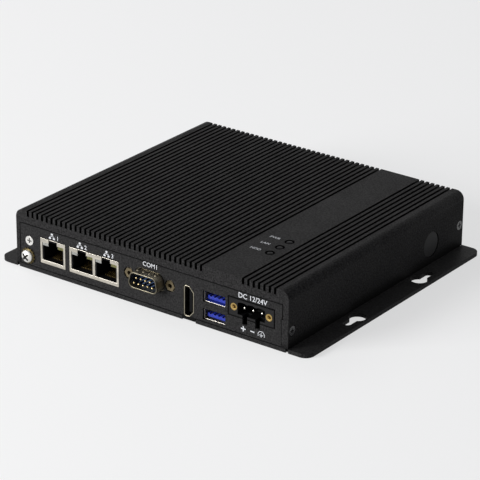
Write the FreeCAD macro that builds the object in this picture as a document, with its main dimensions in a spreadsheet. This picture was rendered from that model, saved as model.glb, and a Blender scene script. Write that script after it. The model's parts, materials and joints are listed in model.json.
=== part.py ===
"""Fanless industrial pc: a finned extrusion over a flanged base plate, with its ports on the front.

Frame: millimetres, X to the right seen from the front, Y to the back, Z up. The origin is the
middle of the case's footprint, on the underside of the base plate.
"""
import FreeCAD, Part
import math
import os
import re
import Sketcher

doc = FreeCAD.newDocument("fanless_pc")
sheet = doc.addObject("Spreadsheet::Sheet", "dims")
sheet_rows = []


# ---------------------------------------------------------------- sizes and places

def add_cell(alias, content, meaning=""):
    """One row of the sheet: the name, a plain number or a formula, and what it means."""
    sheet_rows.append(alias)
    row = len(sheet_rows)
    sheet.set(f"A{row}", alias)
    sheet.set(f"B{row}", str(content))
    sheet.set(f"C{row}", meaning)
    sheet.setAlias(f"B{row}", alias)


def derive(alias, formula, meaning):
    """A place or size that follows from the driving dimensions."""
    add_cell(alias, "=" + formula, meaning)


def value(alias):
    return float(sheet.get(alias))


def dims(text):
    """Turn a formula of aliases into an expression that reads the sheet."""
    return re.sub(r"\b([a-z][a-z_0-9]*)\b", r"dims.\1", str(text))


# ---------------------------------------------------------------- building blocks

SHANK_SIDES = 8
BUSH_SIDES = 16
CELL_SIDES = 24
X_AXIS = FreeCAD.Vector(1, 0, 0)
Y_AXIS = FreeCAD.Vector(0, 1, 0)
FACING = {
    "+z": FreeCAD.Rotation(),
    "-z": FreeCAD.Rotation(X_AXIS, 180),
    "+y": FreeCAD.Rotation(X_AXIS, -90),
    "-y": FreeCAD.Rotation(X_AXIS, 90),
    "+x": FreeCAD.Rotation(Y_AXIS, 90),
    "-x": FreeCAD.Rotation(Y_AXIS, -90),
}


def put(item, x, y, z, facing="+z"):
    item.Placement = FreeCAD.Placement(FreeCAD.Vector(), FACING[facing])
    for axis, place in zip("xyz", (x, y, z)):
        item.setExpression(f"Placement.Base.{axis}", dims(place))
    return item


def box(name, x, y, z):
    """A box between two places on each axis."""
    item = doc.addObject("Part::Box", name)
    for side, (low, high) in zip(("Length", "Width", "Height"), (x, y, z)):
        item.setExpression(side, dims(f"({high}) - ({low})"))
    return put(item, x[0], y[0], z[0])


def rod(name, facing, x, y, z, radius, length):
    item = doc.addObject("Part::Cylinder", name)
    item.setExpression("Radius", dims(radius))
    item.setExpression("Height", dims(length))
    return put(item, x, y, z, facing)


def prism(name, facing, x, y, z, radius, length, sides):
    """A rod with few sides, for what stays hidden."""
    item = doc.addObject("Part::Prism", name)
    item.Polygon = sides
    item.setExpression("Circumradius", dims(radius))
    item.setExpression("Height", dims(length))
    return put(item, x, y, z, facing)


def tapered(name, x, y, low, low_r, high, high_r):
    """A few-sided cone that stands on end, for what stays underneath."""
    sections = []
    for end, z, radius in (("low", low, low_r), ("high", high, high_r)):
        section = doc.addObject("Part::RegularPolygon", f"{name}_{end}")
        section.Polygon = BUSH_SIDES
        section.setExpression("Circumradius", dims(radius))
        sections.append(put(section, x, y, z))
    item = doc.addObject("Part::Loft", name)
    item.Sections = sections
    item.Solid = True
    item.Ruled = True
    return item


def join(name, parts):
    item = doc.addObject("Part::MultiFuse", name)
    item.Shapes = parts
    return item


def cut(name, base, tools):
    item = doc.addObject("Part::Cut", name)
    item.Base = base
    item.Tool = tools[0] if len(tools) == 1 else join(name + "_tools", tools)
    return item


def group(name, parts):
    """Like pieces that share one node as separate solids."""
    item = doc.addObject("Part::Compound", name)
    item.Links = parts
    return item


def body(name):
    return doc.addObject("PartDesign::Body", name)


# An extrusion starts at the lower place on its axis and runs towards the higher one.
PAD_REVERSED = {"XY_Plane": False, "XZ_Plane": True, "YZ_Plane": False}
LIFT_SIGN = {"XY_Plane": "", "XZ_Plane": "-", "YZ_Plane": ""}


def sketch_on(item, name, role, lift):
    sketch = item.newObject("Sketcher::SketchObject", name)
    planes = [feature for feature in item.Origin.OriginFeatures if feature.Role == role]
    sketch.AttachmentSupport = (planes[0], [""])
    sketch.MapMode = "FlatFace"
    sketch.setExpression("AttachmentOffset.Base.z", dims(f"{LIFT_SIGN[role]}({lift})"))
    return sketch


def pin_point(sketch, geometry, point, x, y, start):
    """Hold a point of the sketch at a place that is read from the sheet."""
    for kind, place, first in (("DistanceX", x, start.x), ("DistanceY", y, start.y)):
        index = sketch.addConstraint(Sketcher.Constraint(kind, -1, 1, geometry, point, first))
        label = f"{kind[-1].lower()}_{geometry}"
        sketch.renameConstraint(index, label)
        sketch.setExpression(f"Constraints.{label}", dims(place))


def draw_polygon(sketch, corners):
    first = sketch.GeometryCount
    count = len(corners)
    turn = 2 * math.pi / count
    start = [FreeCAD.Vector(10 * math.cos(i * turn), 10 * math.sin(i * turn), 0) for i in range(count)]
    for i in range(count):
        sketch.addGeometry(Part.LineSegment(start[i], start[(i + 1) % count]), False)
    for i in range(count):
        follower = first + (i + 1) % count
        sketch.addConstraint(Sketcher.Constraint("Coincident", first + i, 2, follower, 1))
    for i, (x, y) in enumerate(corners):
        pin_point(sketch, first + i, 1, x, y, start[i])


def draw_circle(sketch, x, y, radius):
    geometry = sketch.GeometryCount
    centre = FreeCAD.Vector(1, 1, 0)
    sketch.addGeometry(Part.Circle(centre, FreeCAD.Vector(0, 0, 1), 1), False)
    index = sketch.addConstraint(Sketcher.Constraint("Radius", geometry, 1))
    sketch.renameConstraint(index, f"radius_{geometry}")
    sketch.setExpression(f"Constraints.radius_{geometry}", dims(radius))
    pin_point(sketch, geometry, 3, x, y, centre)


def rectangle(x, y):
    return [(x[0], y[0]), (x[1], y[0]), (x[1], y[1]), (x[0], y[1])]


def ring(x, y, radius, sides):
    """Corners of a regular outline; hidden shanks and holes are drawn this way, with few sides."""
    corners = []
    for n in range(sides):
        angle = 2 * math.pi * n / sides
        corners.append((f"{x} + ({radius}) * ({math.cos(angle):.6f})", f"{y} + ({radius}) * ({math.sin(angle):.6f})"))
    return corners


def shank(x, y, radius):
    return ring(x, y, radius, SHANK_SIDES)


def extrude(item, kind, name, role, low, high, wires):
    """Pad or pocket wires between two places; a wire is a corner list or a circle (x, y, radius)."""
    sketch = sketch_on(item, name + "_outline", role, low)
    for wire in wires:
        if isinstance(wire, tuple):
            draw_circle(sketch, *wire)
        else:
            draw_polygon(sketch, wire)
    feature = item.newObject("PartDesign::" + kind, name)
    feature.Profile = sketch
    feature.Reversed = PAD_REVERSED[role] == (kind == "Pad")
    feature.setExpression("Length", dims(f"({high}) - ({low})"))
    sketch.Visibility = False
    return feature


def repeat(item, feature, spacing, count, axis="H_Axis"):
    """Repeat a feature along its own sketch's axis."""
    pattern = item.newObject("PartDesign::LinearPattern", feature.Name + "_row")
    pattern.Originals = [feature]
    pattern.Direction = (feature.Profile[0], [axis])
    pattern.Mode = "Spacing"
    pattern.setExpression("Offset", dims(spacing))
    pattern.Occurrences = count
    item.Tip = pattern
    return pattern


def fillet(item, name, radius, chosen):
    """Round the edges of the body that a test picks."""
    doc.recompute()
    base = item.Tip
    picked = [f"Edge{n}" for n, edge in enumerate(base.Shape.Edges, 1) if chosen(edge)]
    feature = item.newObject("PartDesign::Fillet", name)
    feature.Base = (base, picked)
    feature.setExpression("Radius", dims(radius))
    return feature


def runs_along(edge, axis):
    """Whether an edge is a straight line along x, y or z."""
    if not isinstance(edge.Curve, Part.Line):
        return False
    return abs(abs(getattr(edge.Curve.Direction, axis)) - 1) < 1e-6


def near(first, second):
    return abs(first - second) < 0.01


def turned(name, facing, x, y, z, profile):
    """A body of revolution: radius and height pairs about an axis that faces the given way."""
    item = body(name)
    sketch = sketch_on(item, name + "_profile", "XZ_Plane", "0")
    draw_polygon(sketch, profile)
    feature = item.newObject("PartDesign::Revolution", name + "_turned")
    feature.Profile = sketch
    feature.ReferenceAxis = (sketch, ["V_Axis"])
    feature.Angle = 360
    sketch.Visibility = False
    return put(item, x, y, z, facing)


def cross_recess(item, name, top, span="recess_span", width="recess_blade"):
    arm = f"{span} / 2"
    blade = f"{width} / 2"
    corners = [
        (arm, f"-{blade}"), (arm, blade), (blade, blade), (blade, arm), (f"-{blade}", arm), (f"-{blade}", blade),
        (f"-{arm}", blade), (f"-{arm}", f"-{blade}"), (f"-{blade}", f"-{blade}"), (f"-{blade}", f"-{arm}"),
        (blade, f"-{arm}"), (blade, f"-{blade}"),
    ]
    extrude(item, "Pocket", name, "XY_Plane", f"{top} - recess_depth", top, [corners])


def flat_screw(name, facing, x, y, z, length):
    """A countersunk M3 screw whose head is flush with the given place."""
    profile = [("0", "0"), ("screw_head_r", "0"), ("screw_r", "-screw_head_h"), ("0", "-screw_head_h")]
    item = turned(name, facing, x, y, z, profile)
    extrude(item, "Pad", name + "_shank", "XY_Plane", f"-({length})", "-screw_head_h", [shank("0", "0", "screw_r")])
    cross_recess(item, name + "_recess", "0")
    return item


def countersink(name, facing, x, y, z, depth):
    """A cutter for a countersunk M3 screw whose mouth is at the given place, facing out."""
    head = "screw_head_r + sink_lap"
    hole = "screw_r + screw_gap"
    profile = [("0", "0"), (head, "0"), (hole, "-screw_head_h"), ("0", "-screw_head_h")]
    item = turned(name, facing, x, y, z, profile)
    extrude(item, "Pad", name + "_hole", "XY_Plane", f"-({depth})", "-screw_head_h", [shank("0", "0", hole)])
    return item


# ---------------------------------------------------------------- driving dimensions

# One named value per size that can be set by itself, in millimetres; each becomes a cell of the sheet.
SIZES = {
    "body_d": 153,  # case depth
    "plate_th": 2.0,  # base plate thickness
    "board_th": 1.6,  # circuit board thickness
    "spacer_h": 2.9,  # room between board and housing
    "web_th": 3.8,  # housing top wall under the fins
    "fin_h": 3.1,  # depth of the grooves between the fins
    "fin_groove_w": 1.4,  # width of a groove between fins
    "fin_pitch": 3.0714,  # pitch of the fins
    "fin_edge": 7.75,  # side of the case to the first groove's middle
    "right_groove_count": 7,  # grooves to the right of the smooth band
    "band_w": 24.57,  # smooth band, between the grooves beside it
    "corner_r": 4.4,  # rounding along the top edges of the housing
    "wall_left": 2.2,  # left wall of the housing
    "wall_right": 3.8,  # right wall of the housing, lower part
    "wall_right_thin": 3.1,  # right wall of the housing, upper part
    "wall_step_h": 14.4,  # base plate to the step in the right wall
    "rail_w": 5.6,  # screw rail at the foot of each wall
    "rail_h": 5.5,  # height of the screw rails
    "rail_setback": 12,  # rails stop this far from both ends
    "fit_gap": 0.25,  # gap round each folded panel and port
    "screw_gap": 0.1,  # clearance round a screw
    "sink_lap": 0.35,  # mouth of a countersink beyond the screw head
    "foot_gap": 0.3,  # panels above the base plate
    "sheet_th": 1.2,  # front and rear panel sheet
    "ear_l": 9,  # length of the folded ears of the panels
    "ear_half": 2.7,  # half the height of an ear
    "front_ear_z": 8.5,  # front side screws above the base plate
    "rear_ear_z": 11.8,  # rear side screws above the base plate
    "ear_screw_in": 3.2,  # end of the case to the side screws
    "screw_r": 1.45,  # M3 screw shank
    "screw_head_r": 2.45,  # M3 countersunk head
    "screw_head_h": 1.5,  # M3 countersunk head height
    "recess_span": 2.9,  # cross recess across its arms
    "recess_blade": 0.6,  # cross recess blade width
    "recess_depth": 0.8,  # cross recess depth
    "screw_l": 5.5,  # length of the M3 screws

    "flange_w": 11.4,  # mounting flange beyond the case side
    "flange_corner_r": 5,  # flange corner rounding
    "relief_w": 1.5,  # relief notch between flange and case
    "relief_d": 1.3,  # relief notch depth
    "keyhole_entry_r": 4.4,  # keyhole, screw head entry
    "keyhole_slot_r": 2.1,  # keyhole, half width of the slot
    "keyhole_entry_y": 27.2,  # keyhole entry from the middle of the case
    "keyhole_seat_y": 36,  # keyhole seat from the middle of the case
    "keyhole_x_in": 5.5,  # keyhole middle from the flange's outer edge
    "base_screw_in": 16.5,  # base screws from the ends of the case

    "column_w": 13.3,  # room between the left wall and the first port
    "panel_screw_in": 6.1,  # panel screw from the left wall
    "panel_screw_z": 13.5,  # panel screw above the base plate
    "port_half": 2.2,  # half the screw port in the extrusion, and its reach past the screw
    "earth_in": 5.5,  # earth screw from the left wall
    "earth_z": 5.4,  # earth screw above the base plate
    "earth_r": 1.95,  # M4 earth screw shank
    "earth_head_r": 3.25,  # earth screw head
    "earth_head_h": 2.4,  # earth screw head height
    "earth_recess_span": 3.8,  # cross recess of the earth screw across its arms
    "earth_recess_blade": 0.8,  # its blade width
    "earth_l": 8,  # earth screw length
    "washer_r": 4.4,  # toothed lock washer
    "washer_th": 0.6,  # toothed lock washer thickness
    "washer_teeth": 14,  # teeth of the lock washer
    "washer_tooth": 0.7,  # depth of the lock washer's teeth

    "lan_w": 15.9,  # network jack width
    "lan_h": 13.3,  # network jack height
    "lan_depth": 21.3,  # network jack depth
    "lan_pitch": 15.1,  # pitch of the two jacks in the dual block
    "lan_stand": 0.8,  # jack under the board
    "lan_gap": 2.7,  # single jack to dual block
    "lan_skin": 0.3,  # jack shield sheet
    "lan_open_w": 13.5,  # opening in the shield
    "lan_open_h": 9.3,  # opening in the shield, height
    "lan_sill": 1.9,  # shield under the opening
    "lan_notch_w": 5.4,  # latch notch width
    "lan_cavity_w": 11.9,  # plug cavity width
    "lan_cavity_h": 7.5,  # plug cavity height
    "lan_cavity_depth": 14,  # plug cavity depth
    "lan_window_h": 1.6,  # lamp window height
    "lan_window_depth": 4,  # lamp window depth
    "lan_wire_w": 0.45,  # contact wire width
    "lan_wire_th": 0.3,  # contact wire thickness
    "lan_wire_l": 8,  # contact wire length
    "lan_wire_pitch": 1.02,  # contact wire pitch

    "serial_gap": 3.55,  # dual block to serial port flange
    "serial_screw_pitch": 24.99,  # serial port lock screws
    "serial_margin": 2.9,  # lock screw to the flange's end
    "serial_flange_h": 12.5,  # serial port flange height
    "serial_flange_th": 0.8,  # serial port flange sheet
    "serial_drop": 4.7,  # board underside to the serial port's middle
    "serial_shell_w": 18.4,  # serial shell width at its wide side
    "serial_shell_h": 8.4,  # serial shell height
    "serial_shell_wall": 0.6,  # serial shell sheet
    "serial_slope": 1.47,  # serial shell narrows by this at each side
    "serial_shell_r": 2.8,  # serial shell corners
    "serial_clear": 0.6,  # gap round the serial shell in the panel
    "serial_reach": 5.3,  # serial shell proud of the panel
    "serial_block_d": 9,  # serial insulator behind the flange
    "serial_block_w": 20.0,  # serial insulator width
    "serial_pin_r": 0.5,  # serial pin radius
    "serial_pin_pitch": 2.77,  # serial pin pitch
    "serial_row_half": 1.42,  # half the distance between the pin rows
    "serial_pin_l": 5.2,  # pins proud of the insulator
    "jackscrew_r": 2.75,  # hexagonal lock screw over its corners
    "jackscrew_gap": 0.35,  # gap round the lock screw's head in the panel
    "jackscrew_l": 1.0,  # lock screw's head, from the flange forward
    "jackscrew_shank_r": 2.0,  # lock screw shank
    "jackscrew_shank_l": 5,  # lock screw shank length
    "jackscrew_bore_r": 1.15,  # threaded bore in the lock screw
    "jackscrew_bore_l": 4.3,  # depth of the threaded bore

    "video_gap": 5.55,  # serial port flange to video port
    "video_w": 6.0,  # video port across
    "video_h": 16.2,  # video port height, which sets the room under the board
    "video_low": 0.2,  # video port above the base plate
    "video_stand": 1.5,  # video port under the board
    "video_wall": 0.5,  # video port shell
    "video_depth": 11,  # video port depth
    "video_taper_x": 3.3,  # video port's full height up to here
    "video_taper_h": 2.9,  # video port's slope at each end
    "video_edge": 0.8,  # video port's small corners
    "video_tongue_th": 1.5,  # video port tongue
    "video_tongue_inset": 2.2,  # tongue from the ends of the opening
    "video_tongue_back": 1.6,  # tongue behind the front

    "usb_gap": 5.05,  # video port to usb stack
    "usb_w": 13.9,  # usb stack width
    "usb_h": 15.5,  # usb stack height
    "usb_stand": 1.1,  # usb stack under the board
    "usb_depth": 17.5,  # usb stack depth
    "usb_skin": 0.35,  # usb stack shield sheet
    "usb_open_w": 12.6,  # usb opening width
    "usb_open_h": 5.2,  # usb opening height
    "usb_pitch": 9.2,  # usb openings' pitch
    "usb_lap": 0.3,  # panel cut-out beyond the usb opening
    "usb_tongue_w": 11.1,  # usb tongue width
    "usb_tongue_th": 1.9,  # usb tongue thickness
    "usb_tongue_low": 0.75,  # usb tongue above the floor of the opening
    "usb_tongue_back": 0.9,  # usb tongue behind the shield's front
    "usb_tongue_l": 8.6,  # usb tongue length
    "usb_groove_w": 1.1,  # contact groove in the tongue
    "usb_groove_h": 0.6,  # contact groove depth
    "usb_groove_pitch": 2.5,  # contact groove pitch
    "usb_contact_th": 0.25,  # usb contact thickness

    "header_gap": 1.45,  # usb stack to power header
    "header_pole": 5.08,  # power header pole pitch
    "header_screw_pitch": 20.32,  # power header flange bushes
    "header_margin": 3.14,  # bush to the end of the header's flange
    "header_h": 9.35,  # power header height
    "header_clear": 0.4,  # gap round the power header in the panel
    "header_depth": 12,  # power header depth
    "header_cavity_w": 15.8,  # power header cavity width
    "header_cavity_low": 1.3,  # wall under the cavity
    "header_cavity_h": 6.0,  # cavity height up to the lobes
    "header_cavity_depth": 8.5,  # cavity depth
    "header_lobe_r": 5.3,  # lobe over each pole
    "header_pin_w": 1.0,  # power pin, square
    "header_pin_back": 1.5,  # power pin tip behind the front
    "header_bush_r": 1.95,  # brass bush radius
    "header_bush_bore_r": 1.05,  # threaded bore in the bush
    "header_bush_l": 6,  # brass bush length
    "key_w": 2.7,  # coding slot under the header
    "key_x": 3.7,  # coding slots from the header's middle
    "key_drop": 3.1,  # coding slot below the header
    "right_margin": 4.21,  # power header to the right wall

    "tab_w": 7.6,  # tab at the foot of the front panel
    "tab_drop": 1.4,  # tab reach into the base plate
    "plug_r": 6.5,  # side hole plug
    "plug_rear_in": 29.6,  # side hole plug from the rear of the case
    "plug_z": 10.5,  # side hole plug above the base plate
    "plug_back": 0.35,  # plug face below the wall
    "plug_rim": 1.5,  # plug flange beyond its hole, inside
    "plug_rim_th": 1.0,  # plug flange thickness
    "plug_gap": 0.25,  # gap round the plug
    "antenna_hole_r": 3.25,  # antenna hole in the rear panel
    "antenna_x": 50,  # antenna holes from the middle
    "antenna_z": 14,  # antenna holes above the base plate
    "antenna_cap_r": 4.4,  # antenna hole plug head
    "antenna_cap_th": 1.1,  # antenna hole plug head thickness
    "antenna_stem_l": 4,  # antenna hole plug stem

    "lamp_x_in": 33.4,  # indicator holes from the right side
    "lamp_first_y": 31.5,  # front of the case to the first indicator
    "lamp_pitch": 8.05,  # indicator pitch
    "lamp_hole_r": 2.1,  # indicator hole
    "guide_gap": 0.15,  # gap round a light guide
    "guide_back": 0.7,  # light guide below the top face
    "lamp_size": 1.6,  # indicator lamp
    "lamp_h": 0.7,  # indicator lamp height

    "board_side_gap": 2.0,  # board from the walls
    "board_front_gap": 4.0,  # board from the front of the case
    "board_rear_gap": 6.0,  # board from the rear of the case
    "spacer_r": 2.9,  # board spacer
    "spacer_x_in": 10.5,  # board spacers from the board's sides
    "spacer_front_in": 26,  # front spacers from the board's front edge
    "spacer_rear_in": 6,  # rear spacers from the board's rear edge
    "board_screw_head_r": 2.75,  # board screw head
    "board_screw_head_h": 1.8,  # board screw head height
    "board_screw_r": 1.45,  # board screw shank
    "processor_w": 25,  # processor package
    "processor_h": 1.6,  # processor package height
    "processor_x": 6,  # processor from the middle
    "processor_y": 4,  # processor from the middle
    "network_chip_w": 7,  # network controller
    "network_chip_h": 0.9,  # network controller height
    "network_chip_back": 29,  # network controllers from the front
    "memory_w": 67.6,  # memory module width
    "memory_d": 30,  # memory module depth
    "memory_th": 1.2,  # memory module thickness
    "memory_drop": 3.0,  # memory module under the board
    "memory_socket_d": 6,  # memory socket body
    "memory_socket_h": 4.6,  # memory socket height
    "memory_arm_w": 2.2,  # memory socket arms
    "memory_arm_l": 20,  # memory socket arms, length
    "memory_grip": 3.5,  # module inside its socket
    "memory_rear_in": 45,  # memory socket from the rear of the case
    "memory_x": 30,  # memory module from the middle
    "storage_w": 22,  # storage card width
    "storage_l": 60,  # storage card length
    "storage_th": 0.8,  # storage card thickness
    "storage_drop": 2.2,  # storage card under the board
    "storage_x": -46,  # storage card from the middle
    "storage_rear_in": 24,  # storage card's far end from the rear of the case
    "storage_grip": 2.5,  # card inside its socket
    "storage_socket_d": 6.2,  # storage socket depth
    "storage_socket_h": 3.9,  # storage socket height
    "standoff_r": 2.4,  # storage standoff
    "standoff_bore_r": 1.0,  # storage screw in its standoff
    "storage_screw_head_r": 2.2,  # storage screw head
    "storage_screw_head_h": 0.8,  # storage screw head height
    "cell_r": 10,  # coin cell radius
    "cell_h": 3.2,  # coin cell height
    "cell_x": 48,  # coin cell from the middle
    "cell_rear_in": 24,  # coin cell from the rear of the case
    "holder_wall": 1.3,  # coin cell holder wall
    "holder_floor": 1.2,  # coin cell holder floor
    "coil_w": 7,  # power inductor
    "coil_h": 3.6,  # power inductor height
    "coil_pitch": 10,  # power inductors' pitch
    "coil_x": 42,  # first power inductor from the middle
    "coil_back": 40,  # power inductors from the front
    "can_r": 3.15,  # bulk capacitor
    "can_h": 7.2,  # bulk capacitor height
    "can_pitch": 9,  # bulk capacitors' pitch
    "can_x": 8,  # first bulk capacitor from the middle
    "can_back": 30,  # bulk capacitors from the front
}
for alias, number in SIZES.items():
    add_cell(alias, number)

# ---------------------------------------------------------------- places that follow

derive("lan_dual_w", "lan_w + lan_pitch", "dual network block width")
derive("serial_w", "serial_screw_pitch + 2 * serial_margin", "serial port flange width")
derive("header_w", "header_screw_pitch + 2 * header_margin", "power header width")
derive("port_row_w", "column_w + lan_w + lan_gap + lan_dual_w + serial_gap + serial_w + video_gap + video_w"
       " + usb_gap + usb_w + header_gap + header_w + right_margin", "row of ports between the walls")
derive("body_w", "wall_left + port_row_w + wall_right", "case width")
derive("right_x", "body_w / 2", "right side of the case")
derive("left_x", "-body_w / 2", "left side of the case")
derive("front_y", "-body_d / 2", "front of the case")
derive("rear_y", "body_d / 2", "rear of the case")
derive("inner_left", "left_x + wall_left", "inside of the left wall")
derive("inner_right", "right_x - wall_right", "inside of the right wall, lower part")
derive("inner_right_top", "right_x - wall_right_thin", "inside of the right wall, upper part")
derive("lan_x", "inner_left + column_w", "left side of the single jack")
derive("lan_dual_x", "lan_x + lan_w + lan_gap", "left side of the dual block")
derive("serial_x", "lan_dual_x + lan_dual_w + serial_gap + serial_w / 2", "middle of the serial port")
derive("video_x", "serial_x + serial_w / 2 + video_gap", "left side of the video port")
derive("usb_x", "video_x + video_w + usb_gap", "left side of the usb stack")
derive("header_x", "usb_x + usb_w + header_gap + header_w / 2", "middle of the power header")
derive("board_low", "plate_th + video_low + video_h + video_stand", "underside of the board")
derive("board_top", "board_low + board_th", "top of the board")
derive("web_low", "board_top + spacer_h", "inside of the housing's top")
derive("groove_floor", "web_low + web_th", "floor of the grooves")
derive("body_h", "groove_floor + fin_h", "case height")
derive("panel_in_y", "front_y + sheet_th", "inside of the front panel")
derive("rear_in_y", "rear_y - sheet_th", "inside of the rear panel")
derive("step_z", "plate_th + wall_step_h", "step in the right wall")
derive("rail_top", "plate_th + rail_h", "top of the screw rails")
derive("flange_x", "right_x + flange_w", "outer edge of the mounting flange")
derive("keyhole_x", "flange_x - keyhole_x_in", "keyholes from the middle")
derive("plug_y", "rear_y - plug_rear_in", "middle of the side hole plug")
derive("panel_screw_x", "inner_left + panel_screw_in", "panel screw and its port")
derive("panel_screw_height", "plate_th + panel_screw_z", "panel screw and its port")
derive("earth_x", "inner_left + earth_in", "earth screw")
derive("earth_height", "plate_th + earth_z", "earth screw")
derive("lan_top", "board_low - lan_stand", "top of the network jacks")
derive("lan_low", "lan_top - lan_h", "underside of the network jacks")
derive("lan_open_low", "lan_low + lan_sill", "foot of the shield's opening")
derive("lan_open_top", "lan_open_low + lan_open_h", "head of the shield's opening")
derive("lan_notch_top", "lan_top - lan_skin", "head of the latch notch inside")
derive("serial_z", "board_low - serial_drop", "middle of the serial port")
derive("video_z", "plate_th + video_low + video_h / 2", "middle of the video port")
derive("usb_top", "board_low - usb_stand", "top of the usb stack")
derive("usb_low", "usb_top - usb_h", "underside of the usb stack")
derive("usb_upper_z", "(usb_top + usb_low + usb_pitch) / 2", "middle of the upper usb opening")
derive("usb_face_y", "panel_in_y + usb_skin", "inside of the usb shield's front")
derive("header_z", "board_low - header_h / 2", "middle of the power header")
derive("header_low", "board_low - header_h", "underside of the power header")
derive("header_cavity_z", "header_low + header_cavity_low", "floor of the power header's cavity")
derive("lamp_x", "right_x - lamp_x_in", "indicator holes")
derive("lamp_y", "front_y + lamp_first_y", "first indicator hole")
derive("board_left", "inner_left + board_side_gap", "left edge of the board")
derive("board_right", "inner_right - board_side_gap", "right edge of the board")
derive("board_front", "front_y + board_front_gap", "front edge of the board")
derive("board_rear", "rear_y - board_rear_gap", "rear edge of the board")

# ---------------------------------------------------------------- casing

SIDES = {"left": ("-x", "left_x"), "right": ("+x", "right_x")}
ENDS = {"front": ("front_y + ear_screw_in", "front_ear_z"), "rear": ("rear_y - ear_screw_in", "rear_ear_z")}
BASE_SCREWS = [(x, y) for x in ("inner_left + rail_w / 2", "inner_right - rail_w / 2")
               for y in ("front_y + base_screw_in", "rear_y - base_screw_in")]
SPACERS = [(x, y) for x in ("board_left + spacer_x_in", "board_right - spacer_x_in")
           for y in ("board_front + spacer_front_in", "board_rear - spacer_rear_in")]
LAMPS = [("lamp_x", f"lamp_y + {n} * lamp_pitch") for n in range(3)]


def make_top_housing():
    """The extrusion: walls, fins and screw port in one profile, then the machined holes."""
    housing = body("housing_extrusion")
    profile = [
        ("left_x", "plate_th"), ("inner_left + rail_w", "plate_th"), ("inner_left + rail_w", "rail_top"),
        ("inner_left", "rail_top"), ("inner_left", "panel_screw_height - port_half"),
        ("panel_screw_x + port_half", "panel_screw_height - port_half"),
        ("panel_screw_x + port_half", "panel_screw_height + port_half"),
        ("inner_left", "panel_screw_height + port_half"), ("inner_left", "web_low"),
        ("inner_right_top", "web_low"), ("inner_right_top", "step_z"), ("inner_right", "step_z"),
        ("inner_right", "rail_top"), ("inner_right - rail_w", "rail_top"), ("inner_right - rail_w", "plate_th"),
        ("right_x", "plate_th"), ("right_x", "body_h"), ("left_x", "body_h"),
    ]
    extrude(housing, "Pad", "profile", "XZ_Plane", "front_y", "rear_y", [profile])

    def top_corner(edge):
        middle = edge.CenterOfMass
        return runs_along(edge, "y") and near(middle.z, value("body_h")) and near(abs(middle.x), value("right_x"))

    fillet(housing, "top_rounding", "corner_r", top_corner)
    trim_ends(housing)
    cut_grooves(housing)
    tools = [rod(f"lamp_hole_{n}", "+z", x, y, "web_low", "lamp_hole_r", "body_h - web_low")
             for n, (x, y) in enumerate(LAMPS)]
    tools.append(rod("plug_hole", "+x", "inner_right", "plug_y", "plate_th + plug_z",
                     "plug_r + plug_gap", "wall_right"))
    tools.append(countersink("port_sink", "-y", "panel_screw_x", "front_y", "panel_screw_height", "rail_setback"))
    for side, (facing, face) in SIDES.items():
        for end, (y, z) in ENDS.items():
            tools.append(countersink(f"sink_{side}_{end}", facing, face, y, f"plate_th + {z}", "wall_right"))
    for n, (x, y) in enumerate(BASE_SCREWS):
        tools.append(prism(f"rail_hole_{n}", "+z", x, y, "plate_th", "screw_r + screw_gap", "rail_h", SHANK_SIDES))
    return cut("top_housing", housing, tools)


def trim_ends(housing):
    """Rails and screw port stand back from the ends, where the panels and their ears go."""
    inside = ("inner_left", "inner_right")
    rail_room = rectangle(inside, ("plate_th", "rail_top"))
    port_room = rectangle(inside, ("rail_top", "panel_screw_height + port_half"))
    for end, low, high in (("front", "front_y", "front_y + rail_setback"),
                           ("rear", "rear_y - rail_setback", "rear_y")):
        extrude(housing, "Pocket", f"rail_trim_{end}", "XZ_Plane", low, high, [rail_room])
    extrude(housing, "Pocket", "port_trim_front", "XZ_Plane", "front_y", "panel_in_y", [port_room])
    extrude(housing, "Pocket", "port_trim_rear", "XZ_Plane", "rear_y - rail_setback", "rear_y", [port_room])
    plug_room = rectangle(("inner_right - rail_w", "inner_right"), ("plate_th", "rail_top"))
    extrude(housing, "Pocket", "rail_gap_at_plug", "XZ_Plane", "plug_y - plug_r - 2 * plug_rim",
            "plug_y + plug_r + 2 * plug_rim", [plug_room])


def cut_grooves(housing):
    """The grooves between the fins run the whole depth, in two rows beside the smooth band."""
    right_count = int(value("right_groove_count"))
    right_row = "right_x - fin_edge - (right_groove_count - 1) * fin_pitch"
    span = value("body_w") - 2 * value("fin_edge") - (right_count - 1) * value("fin_pitch") - value("band_w")
    left_count = int(span / value("fin_pitch") + 0.001) + 1
    for name, x, count in (("left_groove", "left_x + fin_edge", left_count), ("right_groove", right_row, right_count)):
        wire = rectangle((f"{x} - fin_groove_w / 2", f"{x} + fin_groove_w / 2"), ("groove_floor", "body_h + 1"))
        groove = extrude(housing, "Pocket", name, "XZ_Plane", "front_y", "rear_y", [wire])
        repeat(housing, groove, "fin_pitch", count)


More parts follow.
